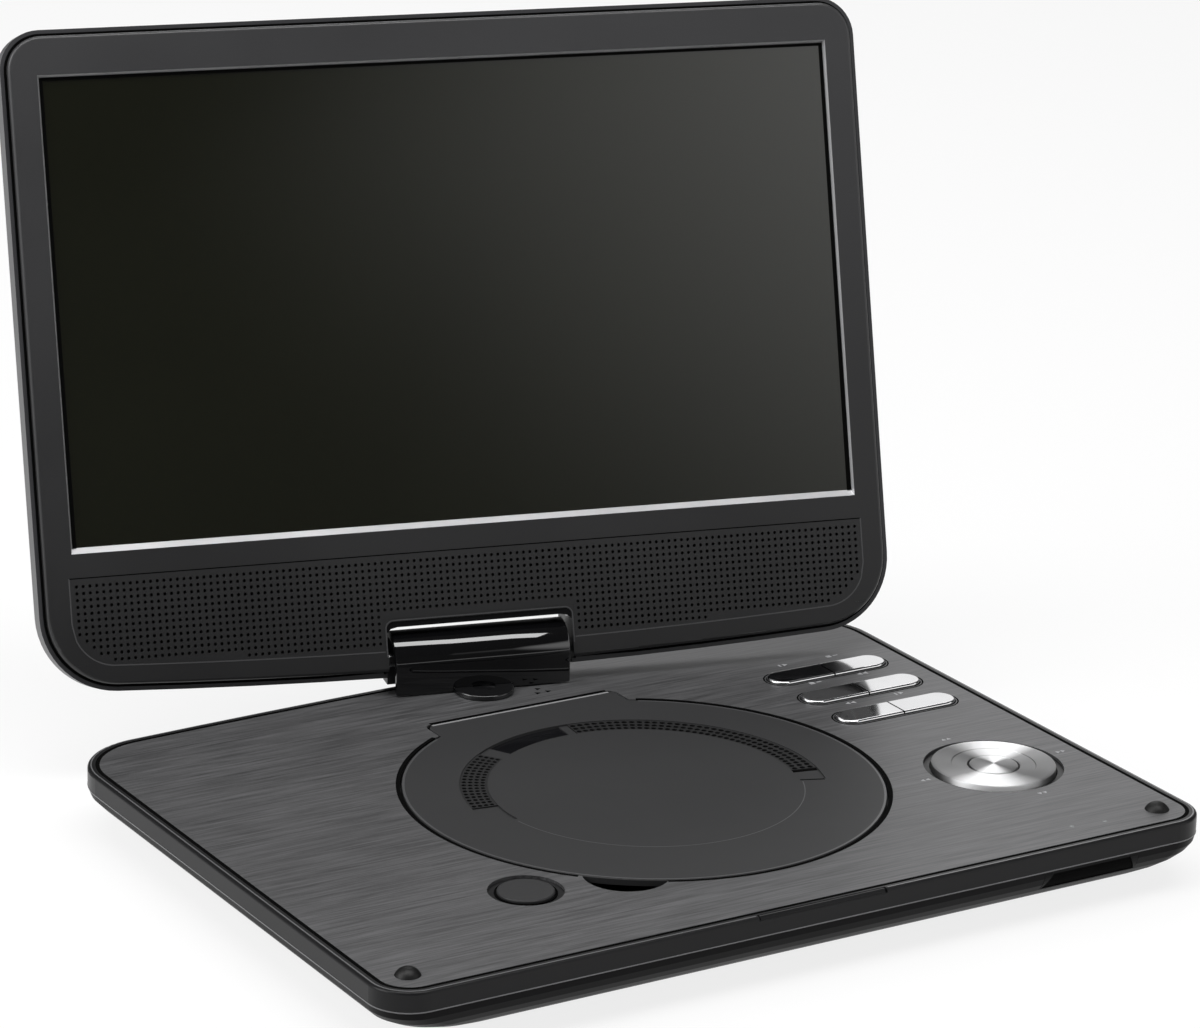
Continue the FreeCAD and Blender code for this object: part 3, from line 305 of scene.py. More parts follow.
finishes = {
    "lowerShell": mouldedFinish("satinBlackShell", (0.0035, 0.0035, 0.0038), 0.4, 0.15, 0.3, shine=0.07),
    "rim": mouldedFinish("satinRim", (0.011, 0.011, 0.0116), 0.32, 0.12, 0.4, shine=0.16),
    "deck": brushedFinish("brushedDeck", (0.11, 0.11, 0.113), 0.44, 0.5, (50, 1500, 900), 0.55, 0.45),
    "cover": mouldedFinish("smoothCover", (0.03, 0.03, 0.031), 0.5, 0.1, 0.5, 0.03, shine=0.25),
    "ventBand": mouldedFinish("ventBand", (0.017, 0.017, 0.0175), 0.5, 0.1, 0.5, 0.03, shine=0.2),
    "inner": mouldedFinish("plainInner", (0.02, 0.02, 0.021), 0.6, 0.2),
    "rubber": mouldedFinish("mattRubber", (0.004, 0.004, 0.004), 0.5, 0.3, 0.5, shine=0.3),
    "smoked": polishedFinish("smokedWindow", (0.006, 0.006, 0.007), 0.05),
    "chrome": polishedFinish("keyPlating", (0.78, 0.78, 0.79), 0.07, 1.0),
    "turned": turnedFinish("turnedPlating", (0.5, 0.5, 0.505), 0.48),
    "steel": brushedFinish("brightSteel", (0.45, 0.45, 0.46), 0.3, 1.0, (900, 900, 900), 0.08, 0.1),
    "zinc": brushedFinish("zincPlate", (0.35, 0.35, 0.36), 0.38, 1.0, (400, 400, 400), 0.12, 0.15),
    "board": boardFinish("greenBoard", (0.02, 0.1, 0.045), (0.12, 0.2, 0.08)),
    "wrap": mouldedFinish("blueWrap", (0.03, 0.06, 0.16), 0.3, 0.3, 1.2, 0.1),
    "socket": mouldedFinish("socketPlastic", (0.016, 0.016, 0.016), 0.4, 0.1),
    "tin": polishedFinish("tinnedShell", (0.6, 0.6, 0.6), 0.2, 1.0),
    "pianoBlack": polishedFinish("pianoBlack", (0.003, 0.003, 0.0034), 0.03, 0.0, 0.8, 0.015),
    "hingeGrey": mouldedFinish("hingeGrey", (0.07, 0.07, 0.074), 0.45, 0.2),
    # the bezel carries painted light: its colour grows lighter towards the top of the lid, as if lit from
    # above
    "bezel": mouldedFinish("bezelPlastic", (0.0145, 0.0145, 0.0152), 0.38, 0.25, 0.35,
                           rise=(25, 185, 0.75, 2.3)),
    "lidBack": mouldedFinish("lidBackPlastic", (0.034, 0.034, 0.037), 0.4, 0.3, 0.35),
    "screen": clearFinish("screenGloss", (0.0065, 0.007, 0.0034), 0.08, 1.0),
    "module": brushedFinish("modulePlate", (0.4, 0.4, 0.41), 0.35, 0.9, (300, 300, 300), 0.06, 0.1),
    "lens": clearFinish("lensGlass", (0.5, 0.6, 0.85), 0.02, 0.6, 0.7),
    "bronze": brushedFinish("sinteredBronze", (0.55, 0.4, 0.18), 0.5, 1.0, (1500, 1500, 1500), 0.15, 0.3),
    "lightPipe": clearFinish("lightPipe", (0.16, 0.17, 0.17), 0.2, 0.5, 0.2),
    "trim": polishedFinish("windowTrim", (0.5, 0.5, 0.51), 0.3, 0.5),
    "boss": polishedFinish("darkBoss", (0.006, 0.006, 0.0065), 0.12, 0.0, 0.8),
    # light grey for the painted highlights along the rim's top edge and on the parting bead
    "edge": mouldedFinish("paintedEdgeHighlight", (0.12, 0.12, 0.124), 0.3, 0.05, 0.5),
    # light grey for the painted highlight along the rear edge of the cover's tab
    "paintedGlint": mouldedFinish("paintedTabGlint", (0.26, 0.26, 0.265), 0.3, 0.05, 0.5),
    # faint light lines, also used for the painted highlight along the disc cover's edge
    "line": mouldedFinish("faintLine", (0.06, 0.06, 0.062), 0.35, 0.05, 0.5),
    "ink": mouldedFinish("paleInk", (0.34, 0.34, 0.35), 0.6, 0.1, 0.2),
    # near black: painted shade in gaps and grooves and inside the window trim, and also dark print and other
    # dark parts
    "dark": mouldedFinish("paintedShadeAndDarkParts", (0.002, 0.002, 0.002), 0.9, 0.2, 0.3, shine=0.04),
}

finishOfSlot = {
    "case_lower": "lowerShell", "case_upper": "rim", "deck_metal": "deck", "cover_plastic": "cover",
    "inner_plastic": "inner", "rubber": "rubber", "smoked_window": "smoked", "bright_key": "chrome",
    "silver_ring": "turned", "steel": "steel", "chassis_steel": "zinc", "circuit_board": "board",
    "battery_wrap": "wrap", "socket_plastic": "socket", "socket_metal": "tin", "gloss_black": "pianoBlack",
    "hinge_grey": "hingeGrey", "bezel_plastic": "bezel", "lid_back": "lidBack", "screen": "screen",
    "screen_module": "module", "lens_glass": "lens", "brass": "bronze", "light_pipe": "lightPipe",
}
slotOfNode = {row["node"]: row["material_slot"] for row in frame["record"]["subparts"]}


def dress(piece, finish):
    piece.data.materials.clear()
    piece.data.materials.append(finishes[finish])


for nodeName, node in frame["nodes"].items():
    dress(node, finishOfSlot[slotOfNode[nodeName]])
dress(frame["nodes"]["swivel_shaft"], "boss")
print("stage: finishes on", len(frame["nodes"]), "solids")


def addObject(name, data):
    thing = bpy.data.objects.new(name, data)
    bpy.context.scene.collection.objects.link(thing)
    return thing


# a mesh piece from points in millimetres; origin is the piece's own middle
def makePiece(name, points, faces, finish, body, smooth=None, origin=(0, 0, 0)):
    middle = Vector(origin)
    mesh = bpy.data.meshes.new(name)
    mesh.from_pydata([(Vector(point) - middle) * mm for point in points], [], faces)
    mesh.validate()
    mesh.update()
    piece = addObject(name, mesh)
    piece.location = middle * mm
    mesh.materials.append(finishes[finish])
    if smooth is not None:
        for polygon in mesh.polygons:
            polygon.use_smooth = True
        mesh.set_sharp_from_angle(angle=math.radians(smooth))
    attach(piece, body)
    return piece


# a plate from flat cells that share their corners, with every open edge walled
def slab(name, cells, place, top, low, finish, body):
    index = {}
    points = []

    def corner(point, level):
        key = (round(point[0], 3), round(point[1], 3), level)
        if key not in index:
            index[key] = len(points)
            points.append(place(point[0], point[1], top if level == 0 else low))
        return index[key]

    faces = []
    edges = {}
    for cell in cells:
        front = [corner(point, 0) for point in cell]
        back = [corner(point, 1) for point in cell]
        faces.append(front)
        faces.append(back[::-1])
        for i in range(len(cell)):
            j = (i + 1) % len(cell)
            edges[(front[i], front[j])] = (back[i], back[j])
    for (a, b), (c, d) in edges.items():
        if (b, a) not in edges:
            faces.append([b, a, c, d])
    return makePiece(name, points, faces, finish, body)


# one square cell with a round hole, as four cells round the hole
def holedCell(x0, x1, y0, y1, r, sides, middle=None):
    cx, cy = middle or ((x0 + x1) / 2, (y0 + y1) / 2)
    corners = [(x1, y1), (x0, y1), (x0, y0), (x1, y0)]
    cells = []
    for side in range(4):
        start, end = corners[side], corners[(side + 1) % 4]
        hole = []
        for step in range(sides // 4 + 1):
            turn = math.pi / 4 + math.pi / 2 * side + math.pi / 2 * step / (sides // 4)
            hole.append((cx + r * math.cos(turn), cy + r * math.sin(turn)))
        cells.append([start, end] + hole[::-1])
    return cells


# a closed profile of (radius, z) turned about an upright axis through centre
def turned(name, profile, centre, finish, body, segments, smooth):
    points = []
    rings = []
    for r, z in profile:
        if r < 1e-6:
            rings.append([len(points)])
            points.append(Vector((centre[0], centre[1], z)))
        else:
            ring = []
            for step in range(segments):
                turn = 2 * math.pi * step / segments
                ring.append(len(points))
                points.append(Vector((centre[0] + r * math.cos(turn), centre[1] + r * math.sin(turn), z)))
            rings.append(ring)
    faces = []
    for a, b in zip(rings, rings[1:] + rings[:1]):
        if len(a) == 1 and len(b) == 1:
            continue
        for step in range(segments):
            after = (step + 1) % segments
            if len(a) == 1:
                faces.append([a[0], b[after], b[step]])
            elif len(b) == 1:
                faces.append([a[step], a[after], b[0]])
            else:
                faces.append([a[step], a[after], b[after], b[step]])
    return makePiece(name, points, faces, finish, body, smooth, (centre[0], centre[1], profile[0][1]))


# side faces that join sections of count points each
def skin(count, sections, first=0, closed=False):
    faces = []
    for k in range(sections if closed else sections - 1):
        a, b = first + count * k, first + count * ((k + 1) % sections)
        faces += [[a + i, a + (i + 1) % count, b + (i + 1) % count, b + i] for i in range(count)]
    return faces


# faces of a closed bar through sections of count points each
def bar(count, sections, first=0):
    last = first + count * (sections - 1)
    caps = [list(range(first, first + count))[::-1], list(range(last, last + count))]
    return caps + skin(count, sections, first)


# thin raised marks, each a convex outline
def flatMark(name, outlines, place, height, finish, body):
    points = []
    faces = []
    for outline in outlines:
        faces += bar(len(outline), 2, len(points))
        points += [place(x, y, level) for level in (0.0, height) for x, y in outline]
    return makePiece(name, points, faces, finish, body)


def pillOutline(x, y, length, width, steps):
    r = width / 2
    half = length / 2 - r
    outline = []
    for side, start in ((1, -90), (-1, 90)):
        for step in range(steps + 1):
            turn = math.radians(start + 180 * step / steps)
            outline.append((x + side * half + r * math.cos(turn), y + r * math.sin(turn)))
    return outline


def triangle(x, y, size, turn):
    points = []
    for step in range(3):
        a = math.radians(turn + 120 * step)
        points.append((x + size * math.cos(a), y + size * math.sin(a)))
    return points


def rectangle(x, y, w, h):
    return [(x - w / 2, y - h / 2), (x + w / 2, y - h / 2), (x + w / 2, y + h / 2), (x - w / 2, y + h / 2)]


# outline of a solid at one level, read from its mesh, counter-clockwise in millimetres
def outlineAt(nodeName, level, turn=Matrix()):
    node = frame["nodes"][nodeName]
    back = turn.inverted()
    corners = set()
    for vertex in node.data.vertices:
        place = back @ (node.matrix_world @ vertex.co / mm)
        if abs(place.z - level) < 0.02:
            corners.add((round(place.x, 3), round(place.y, 3)))
    corners = sorted(corners)
    halves = []
    for run in (corners, corners[::-1]):
        half = []
        for point in run:
            while len(half) > 1 and ((half[-1][0] - half[-2][0]) * (point[1] - half[-2][1])
                                     - (half[-1][1] - half[-2][1]) * (point[0] - half[-2][0])) <= 0:
                half.pop()
            half.append(point)
        halves += half[:-1]
    return halves


# the outline with every side moved out by the same distance
def grown(outline, out):
    moved = []
    count = len(outline)
    for k in range(count):
        here = Vector(outline[k])
        before = (here - Vector(outline[k - 1])).normalized()
        after = (Vector(outline[(k + 1) % count]) - here).normalized()
        first, second = Vector((before.y, -before.x)), Vector((after.y, -after.x))
        normal = (first + second).normalized()
        moved.append(here + normal * out / max(normal.dot(first), 0.5))
    return moved


# a closed band round an outline, between two offsets and two levels
def band(name, outline, inside, outside, high, low, finish, body):
    inner, outer = grown(outline, inside), grown(outline, outside)
    points = []
    for (x0, y0), (x1, y1) in zip(inner, outer):
        points += [(x0, y0, high), (x1, y1, high), (x1, y1, low), (x0, y0, low)]
    faces = [face[::-1] for face in skin(4, len(outline), closed=True)]
    return makePiece(name, points, faces, finish, body)


# flat arcs round the disc bay's middle
def arcBand(name, spans, inner, outer, high, low, finish, body, step=2.0):
    points = []
    faces = []
    for start, end in spans:
        count = max(2, int(abs(end - start) / step))
        faces += bar(4, count + 1, len(points))
        for k in range(count + 1):
            angle = start + (end - start) * k / count
            points += [onDisc(angle, inner, high), onDisc(angle, outer, high), onDisc(angle, outer, low),
                       onDisc(angle, inner, low)]
    return makePiece(name, points, faces, finish, body)


# a flat line of one width along an open path
def strip(name, path, width, high, low, place, finish, body):
    points = []
    count = len(path)
    for k in range(count):
        here = Vector(path[k])
        before = (here - Vector(path[k - 1])).normalized() if k else None
        after = (Vector(path[k + 1]) - here).normalized() if k < count - 1 else None
        along = ((before or after) + (after or before)).normalized()
        side = Vector((along.y, -along.x)) * width / 2
        near, far = here - side, here + side
        for point, level in ((near, high), (far, high), (far, low), (near, low)):
            points.append(place(point.x, point.y, level))
    return makePiece(name, points, bar(4, count), finish, body)


# a profile of (y, z) drawn out along X
def block(name, profile, x0, x1, place, finish, body):
    points = [place(x0, y, z) for y, z in profile] + [place(x1, y, z) for y, z in profile]
    return makePiece(name, points, bar(len(profile), 2), finish, body)


# speaker grille with its holes
grille = {
    "width": 226.4, "top": 34.1, "low": 7.4, "lowEnd": 10.8, "corner": 11.0, "fit": 0.15,
    "notchWide": 54.4, "notchTop": 16.5, "border": 2.6,
    "pitch": 1.84, "holeRadius": 0.46, "rows": 14, "firstHole": 31.9, "endMargin": 0.9,
    "lowMargin": 0.5, "notchMargin": 0.4, "cellMargin": 0.05, "rowLift": 0.3, "front": -0.06, "back": 1.4,
}


# bowed lower edge of the grille
def grilleLow(u):
    half = grille["width"] / 2
    rise = grille["lowEnd"] - grille["low"]
    bowRadius = (half ** 2 + rise ** 2) / (2 * rise)
    low = grille["low"] + bowRadius - math.sqrt(bowRadius ** 2 - u ** 2)
    over = max(0.0, abs(u) - half + grille["corner"])
    return low + grille["corner"] - math.sqrt(max(0.0, grille["corner"] ** 2 - over ** 2))


# moves the nearest inner line onto target, so that the cells still share their corners
def snapLine(lines, target):
    nearest = min(range(1, len(lines) - 1), key=lambda k: abs(lines[k] - target))
    lines[nearest] = target


def grilleCells():
    half = grille["width"] / 2
    pitch = grille["pitch"]
    notchHalf, notchTop = grille["notchWide"] / 2, grille["notchTop"]
    r, margin = grille["holeRadius"], grille["cellMargin"]
    columns = int((half - grille["endMargin"]) * 2 / pitch)
    centresU = [(k - (columns - 1) / 2) * pitch for k in range(columns)]
    centresV = [grille["firstHole"] - k * pitch for k in range(grille["rows"])][::-1]
    us = [-half] + [centresU[0] - pitch / 2 + k * pitch for k in range(columns + 1)] + [half]
    vs = [centresV[0] - pitch / 2 + k * pitch for k in range(grille["rows"] + 1)] + [grille["top"]]
    snapLine(us, -notchHalf)
    snapLine(us, notchHalf)
    snapLine(vs, notchTop)
    starts = []
    for k in range(len(us) - 1):
        inNotch = us[k] > -notchHalf - 0.01 and us[k + 1] < notchHalf + 0.01
        base = notchTop if inNotch else max(grilleLow(us[k]), grilleLow(us[k + 1])) + grille["rowLift"]
        starts.append((inNotch, min(v for v in vs if v >= base - 1e-6)))
    cells = []
    for k in range(len(us) - 1):
        u0, u1 = us[k], us[k + 1]
        inNotch, start = starts[k]
        if not inNotch:
            sides = []
            for near in (k - 1, k + 1):
                solid = 0 <= near < len(starts) and not starts[near][0]
                sides.append([v for v in vs if solid and starts[near][1] <= v < start - 1e-6])
            cell = [(u0, grilleLow(u0)), (u1, grilleLow(u1))] + [(u1, v) for v in sides[1]]
            cells.append(cell + [(u1, start), (u0, start)] + [(u0, v) for v in reversed(sides[0])])
        for j in range(len(vs) - 1):
            v0, v1 = vs[j], vs[j + 1]
            if v0 < start - 1e-6:
                continue
            holed = False
            if 0 < k < len(us) - 2 and j < grille["rows"]:
                u, v = centresU[k - 1], centresV[j]
                clearLow = v - r > max(grilleLow(u0), grilleLow(u1)) + grille["lowMargin"]
                insideU = u - r > u0 + margin and u + r < u1 - margin
                insideV = v - r > v0 + margin and v + r < v1 - margin
                beside = max(abs(u) - notchHalf, v - notchTop) > r + grille["notchMargin"]
                holed = clearLow and insideU and insideV and beside
            if holed:
                cells += holedCell(u0, u1, v0, v1, r, 8, (u, v))
            else:
                cells.append([(u0, v0), (u1, v0), (u1, v1), (u0, v1)])
    return cells


grillePanel = slab("grille_panel", grilleCells(), onLid, grille["front"], grille["back"], "bezel", "lid")
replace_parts(grillePanel, "speaker_grille")

# dark ground behind the holes that lie over the bezel's border round the notch
ground = {"fit": 0.1, "front": -0.03, "back": 0.02}
notchHalf, notchTop, border = grille["notchWide"] / 2, grille["notchTop"], grille["border"]
borderLow, borderFit = grilleLow(notchHalf), ground["fit"]
borderCells = [rectangle(side * (notchHalf + border / 2), (borderLow + notchTop) / 2,
                         border - borderFit, notchTop - borderLow - borderFit) for side in (-1, 1)]
borderCells.append(rectangle(0, notchTop + border / 2, 2 * (notchHalf + border) - borderFit,
                             border - borderFit))
slab("grille_ground", borderCells, onLid, ground["front"], ground["back"], "dark", "lid")
print("stage: grille", len(grillePanel.data.polygons), "faces")

# corners in the bezel's colour outside the grille's rounded ends, and the lines round the grille
grilleLine = {"width": 0.35, "below": 0.12, "front": -0.08, "topWidth": 0.3, "topFront": -0.075, "back": 0.1}
grilleCorner = {"below": 0.3, "steps": 12, "back": 1.3}
half, steps = grille["width"] / 2, grilleCorner["steps"]
cornerReach = [half - grille["corner"] * (1 - k / steps) for k in range(steps + 1)]
lineReach = [half - 0.9 * k for k in range(14)] + [*range(90, 15, -15), notchHalf]  # dense at the corner
for side, end in ((-1, "left"), (1, "right")):
    corner = side * (half + grille["fit"])
    cell = [(corner, grille["lowEnd"] + grille["corner"]), (corner, grille["lowEnd"])]
    cell += [(side * u, grilleLow(u) - grilleCorner["below"]) for u in cornerReach]
    slab("grille_corner_" + end, [cell if side < 0 else cell[::-1]], onLid, 0.0, grilleCorner["back"],
         "bezel", "lid")
    path = [(side * half, grille["top"])]
    path += [(side * u, grilleLow(u) - grilleLine["below"]) for u in lineReach]
    strip("grille_edge_" + end, path, grilleLine["width"], grilleLine["front"], grilleLine["back"], onLid,
          "line", "lid")
strip("grille_edge_top", [(-half, grille["top"]), (half, grille["top"])], grilleLine["topWidth"],
      grilleLine["topFront"], grilleLine["back"], onLid, "dark", "lid")

notch = {"half": 26.75, "high": 15.95, "low": 6.0, "corner": 2.2, "width": 0.3, "front": -0.09, "back": 0.2}
notchPath = [(-notch["half"], notch["low"])]
for side, start in ((-1, 180), (1, 90)):
    for k in range(6):
        turn = math.radians(start - 18 * k)
        notchPath.append((side * (notch["half"] - notch["corner"]) + notch["corner"] * math.cos(turn),
                          notch["high"] - notch["corner"] + notch["corner"] * math.sin(turn)))
notchPath.append((notch["half"], notch["low"]))
strip("notch_edge", notchPath, notch["width"], notch["front"], notch["back"], onLid, "line", "lid")

# lip that narrows the slit over the hinge barrel
lip = {"half": 26.4, "high": 15.55, "low": 14.0, "corner": 3.0, "bevel": 1.1, "bevelDrop": 0.4,
       "endDrop": 1.4, "front": 0.35, "back": 3.0}
lipLeft = [(-lip["half"], lip["high"]), (-lip["half"], lip["low"] - lip["endDrop"]),
           (-lip["half"] + lip["bevel"], lip["low"] - lip["bevelDrop"]),
           (-lip["half"] + lip["corner"], lip["low"])]
lipCell = lipLeft + [(-u, v) for u, v in reversed(lipLeft)]
slab("notch_lip", [lipCell], onLid, lip["front"], lip["back"], "pianoBlack", "lid")

# sloped trim round the screen, and a dark strip inside it: painted shadow of the trim on the top and sides
window = {"width": 224.0, "low": 40.7, "high": 169.3, "slope": 0.6, "bottomSlope": 1.6,
          "front": 0.05, "depth": 1.3, "shadowIn": 1.1, "shadowWidth": 1.1, "shadowFront": 0.95}
half, depth, slope, inset = window["width"] / 2, window["depth"], window["slope"], window["shadowIn"]
innerLow = window["low"] + window["bottomSlope"]
trimPoints = []
for outerU, innerU, outerV, innerV in (
        (-half, slope - half, window["low"], innerLow), (half, half - slope, window["low"], innerLow),
        (half, half - slope, window["high"], window["high"] - slope),
        (-half, slope - half, window["high"], window["high"] - slope)):
    trimPoints += [onLid(outerU, outerV, window["front"]), onLid(outerU, outerV, depth),
                   onLid(innerU, innerV, depth)]
makePiece("window_trim", trimPoints, skin(3, 4, closed=True), "trim", "lid")
shadowPath = [(inset - half, innerLow), (inset - half, window["high"] - inset),
            (half - inset, window["high"] - inset), (half - inset, innerLow)]
strip("window_trim_shadow", shadowPath, window["shadowWidth"], window["shadowFront"], depth, onLid, "dark", "lid")

# vents in the disc cover
vents = {
    "floor": -0.5, "top": -0.16, "low": -0.42, "liner": -0.44, "inner": 41.2, "outer": 48.6, "edge": 0.4,
    "fields": [("vent_left", 124.0, 171.0, 4), ("vent_right", -12.0, 84.0, 3)],
    "pitch": 1.95, "holeRadius": 0.8, "linerFit": 0.05, "linerSteps": 24, "end": (-22.9, -22.05),
}
hairline = {"proud": 0.015, "deep": 0.05}


def ventCells(start, end, rows):
    mid = (vents["inner"] + vents["outer"]) / 2
    count = int(math.radians(end - start) * mid / vents["pitch"])
    step = (end - start) / count
    radial = (vents["outer"] - vents["inner"] - 2 * vents["edge"]) / rows
    holeRadius = min(vents["holeRadius"], radial * 0.4)
    rs = [vents["inner"] + vents["edge"] + radial * k for k in range(rows + 1)]
    rs = [vents["inner"]] + rs + [vents["outer"]]
    cells = []
    for k in range(count):
        a0, a1 = start + k * step, start + (k + 1) * step
        for j in range(len(rs) - 1):
            r0, r1 = rs[j], rs[j + 1]
            if 0 < j < len(rs) - 2:
                # holes are laid out in flat cells as wide as the arc, then bent round it
                scale = math.radians(1) * mid
                flat = holedCell(a0 * scale, a1 * scale, r0, r1, holeRadius, 12)
                cells += [[(x / scale, y) for x, y in cell][::-1] for cell in flat]
            else:
                cells.append([(a0, r0), (a0, r1), (a1, r1), (a1, r0)])
    return cells


def linerCells(start, end):
    near, far = vents["inner"] + vents["linerFit"], vents["outer"] - vents["linerFit"]
    steps = vents["linerSteps"]
    angles = [start + (end - start) * k / steps for k in range(steps + 1)]
    return [[(a, near), (a, far), (b, far), (b, near)] for a, b in zip(angles, angles[1:])]


for ventName, start, end, rows in vents["fields"]:
    slab(ventName, ventCells(start, end, rows), onDisc, vents["top"], vents["low"], "ventBand", "cover")
    slab(ventName + "_liner", linerCells(start, end), onDisc, vents["liner"], vents["floor"], "dark",
         "cover")
divide = {"at": vents["fields"][-1][1], "inset": 0.1, "turn": 1.2, "high": 0.12, "low": -0.02}
arcBand("vent_divide", [(divide["at"] - divide["inset"] - divide["turn"], divide["at"] - divide["inset"])],
        vents["inner"] + divide["inset"], vents["outer"] - divide["inset"], vents["floor"] + divide["high"],
        vents["floor"] + divide["low"], "dark", "cover", 0.6)
arcBand("vent_end", [vents["end"]], vents["inner"] + vents["edge"], vents["outer"] - vents["edge"],
        hairline["proud"], -hairline["deep"], "dark", "cover", 0.4)
print("stage: cover vents")

# lines round the disc cover: painted shade in the gap round the bay, which stops at the hinge tab and at the
# finger scallop, a faint ring line on the cover, and a painted highlight along the cover's edge
seams = {
    "cover": 63.7, "gap": 0.5, "line": 1.0, "overlap": 0.06, "bayArcs": [(119.5, 223.5), (243.6, 420.5)],
    "bayProud": 0.03, "bayDeep": 0.3, "ringRadius": 42.0, "ringWidth": 0.28, "ringArc": (188.0, 336.0),
    "edgeFrom": 0.8, "edgeTo": 0.2, "edgeProud": 0.02, "edgeArc": (120.0, 420.0),
}
bayEdge = seams["cover"] + seams["gap"]
arcBand("bay_gap_shade", seams["bayArcs"], bayEdge - seams["overlap"], bayEdge + seams["line"],
        seams["bayProud"], -seams["bayDeep"], "dark", "base")
arcBand("cover_line", [seams["ringArc"]], seams["ringRadius"], seams["ringRadius"] + seams["ringWidth"],
        hairline["proud"], -hairline["deep"], "line", "cover")
arcBand("cover_edge_highlight", [seams["edgeArc"]], seams["cover"] - seams["edgeFrom"],
        seams["cover"] - seams["edgeTo"], seams["edgeProud"], -hairline["deep"], "line", "cover")

# painted shade: a dark strip at the bottom of the groove round the deck plate; and the bead on the parting
# line, coloured light as a painted highlight
grooveShade = {"under": 0.35, "out": 0.75, "proud": 0.02, "deep": 0.5}
bead = {"level": 11.7, "half": 0.16, "deep": 0.3, "proud": 0.06}
band("deck_groove_shade", outlineAt("deck_plate", deck["top"]), -grooveShade["under"], grooveShade["out"],
     deck["top"] + grooveShade["proud"], deck["top"] - grooveShade["deep"], "dark", "base")
band("parting_bead", outlineAt("base_top_case", bead["level"]), -bead["deep"], bead["proud"],
     bead["level"] + bead["half"], bead["level"] - bead["half"], "edge", "base")

# thumb rest in the front rim
front = cadBox[0][1] / mm
thumb = {"half": 18.55, "deep": 1.38, "low": -1.1, "proud": 0.25, "high": -0.12}


def atFront(x, y, z):
    return Vector((x, front + y, deck["top"] + z))


thumbProfile = [
    (thumb["proud"], thumb["low"]), (thumb["deep"], thumb["low"]), (thumb["deep"], thumb["high"]),
    (thumb["deep"] - 0.5, thumb["high"] - 0.06), (thumb["proud"] + 0.1, -0.75),
]
block("thumb_rest", thumbProfile, -thumb["half"], thumb["half"], atFront, "rim", "base")

# dark panel of the remote sensor, with slanted ends, on the bowl of the casing
sensorBox = [Vector(corner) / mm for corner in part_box("ir_window")]
sensor = {"sideFit": 0.2, "fit": 0.05, "slant": 2.6, "front": 0.3, "endFront": 0.02, "back": 2.6,
          "hullDeep": 18.5, "hullTall": 11.7, "rows": 5}
sensorHigh = sensorBox[1].z - deck["top"] - sensor["fit"]
sensorLow = sensorBox[0].z - deck["top"] + sensor["fit"]


# a curved plate that follows the bowl below the parting line, between two spans of x
def hullPatch(name, topSpan, lowSpan, deep, finish):
    rows = sensor["rows"]
    points = []
    for k in range(rows + 1):
        share = k / rows
        z = sensorHigh + (sensorLow - sensorHigh) * share
        drop = (bead["level"] - deck["top"] - z) / sensor["hullTall"]
        inset = sensor["hullDeep"] * (1 - math.sqrt(1 - drop ** 2))
        left, right = (high + (low - high) * share for high, low in zip(topSpan, lowSpan))
        for x, layer in ((left, deep), (right, deep), (right, sensor["back"]), (left, sensor["back"])):
            points.append(atFront(x, inset + layer, z))
    return makePiece(name, points, [face[::-1] for face in bar(4, rows + 1)], finish, "base")


low, high = sensorBox[0].x + sensor["sideFit"], sensorBox[1].x - sensor["sideFit"]
slant, fit = sensor["slant"], sensor["fit"]
hullPatch("sensor_panel", (low + slant, high - slant), (low, high), sensor["front"], "dark")
hullPatch("sensor_end_left", (low - 2 * fit, low + slant - fit), (low - 2 * fit, low - fit),
          sensor["endFront"], "lowerShell")
hullPatch("sensor_end_right", (high - slant + fit, high + 2 * fit), (high + fit, high + 2 * fit),
          sensor["endFront"], "lowerShell")

# painted shade: a dark strip in the groove between the bezel and the lid's back, open at the hinge's notch
groove = {"out": 0.35, "width": 0.8, "front": -0.12, "back": 0.1, "notchHalf": 27.5}
bezelEdge = grown(outlineAt("lid_front_bezel", lidFace + lid["bezel"], lidTurn), groove["out"])
edgeCount = len(bezelEdge)
rearEdge = max(range(edgeCount), key=lambda k: bezelEdge[k][1] + bezelEdge[(k + 1) % edgeCount][1])
groovePath = [tuple(point) for point in bezelEdge[rearEdge + 1:] + bezelEdge[:rearEdge + 1]]
grooveEnds = (-groove["notchHalf"], groovePath[0][1]), (groove["notchHalf"], groovePath[-1][1])
groovePath = [grooveEnds[0]] + groovePath + [grooveEnds[1]]


def onLidLevel(x, y, z):
    return lidTurn @ Vector((x, y, lidFace + lid["bezel"] + z))


strip("lid_groove_shade", groovePath, groove["width"], groove["front"], groove["back"], onLidLevel, "dark", "lid")

# painted highlight, and a dark strip of painted shade in the gap, along the rear of the cover's tab
# name: (y, width, proud, deep, finish, body)
tabHalf = 27.8
tabLines = {
    "tab_highlight": (60.0, 0.8, 0.025, 0.05, "paintedGlint", "cover"),
    "tab_gap_shade": (61.6, 0.7, 0.03, 0.2, "dark", "base"),
}
for name, (y, width, proud, deep, finish, body) in tabLines.items():
    path = [(discPivot.x + side * tabHalf, y) for side in (-1, 1)]
    strip(name, path, width, proud, -deep, onDeck, finish, body)

# painted highlight along the top of the rim, open at the thumb rest
rim = {"inset": 0.22, "width": 0.36, "thumbHalf": 19.6, "proud": 0.02, "deep": 0.1}
rimTop = [tuple(point) for point in grown(outlineAt("base_top_case", deck["top"]), -rim["inset"])]
frontRight = [k for k, (x, y) in enumerate(rimTop) if y < 0 and x > rim["thumbHalf"]]
firstRight = min(frontRight, key=lambda k: rimTop[k][0])
rimPath = rimTop[firstRight:] + rimTop[:firstRight]
frontY = rimPath[0][1]
rimPath = [point for point in rimPath if abs(point[0]) > rim["thumbHalf"] or point[1] > 0]
rimPath = [(rim["thumbHalf"], frontY)] + rimPath + [(-rim["thumbHalf"], frontY)]
strip("rim_highlight", rimPath, rim["width"], rim["proud"], -rim["deep"], onDeck, "edge", "base")
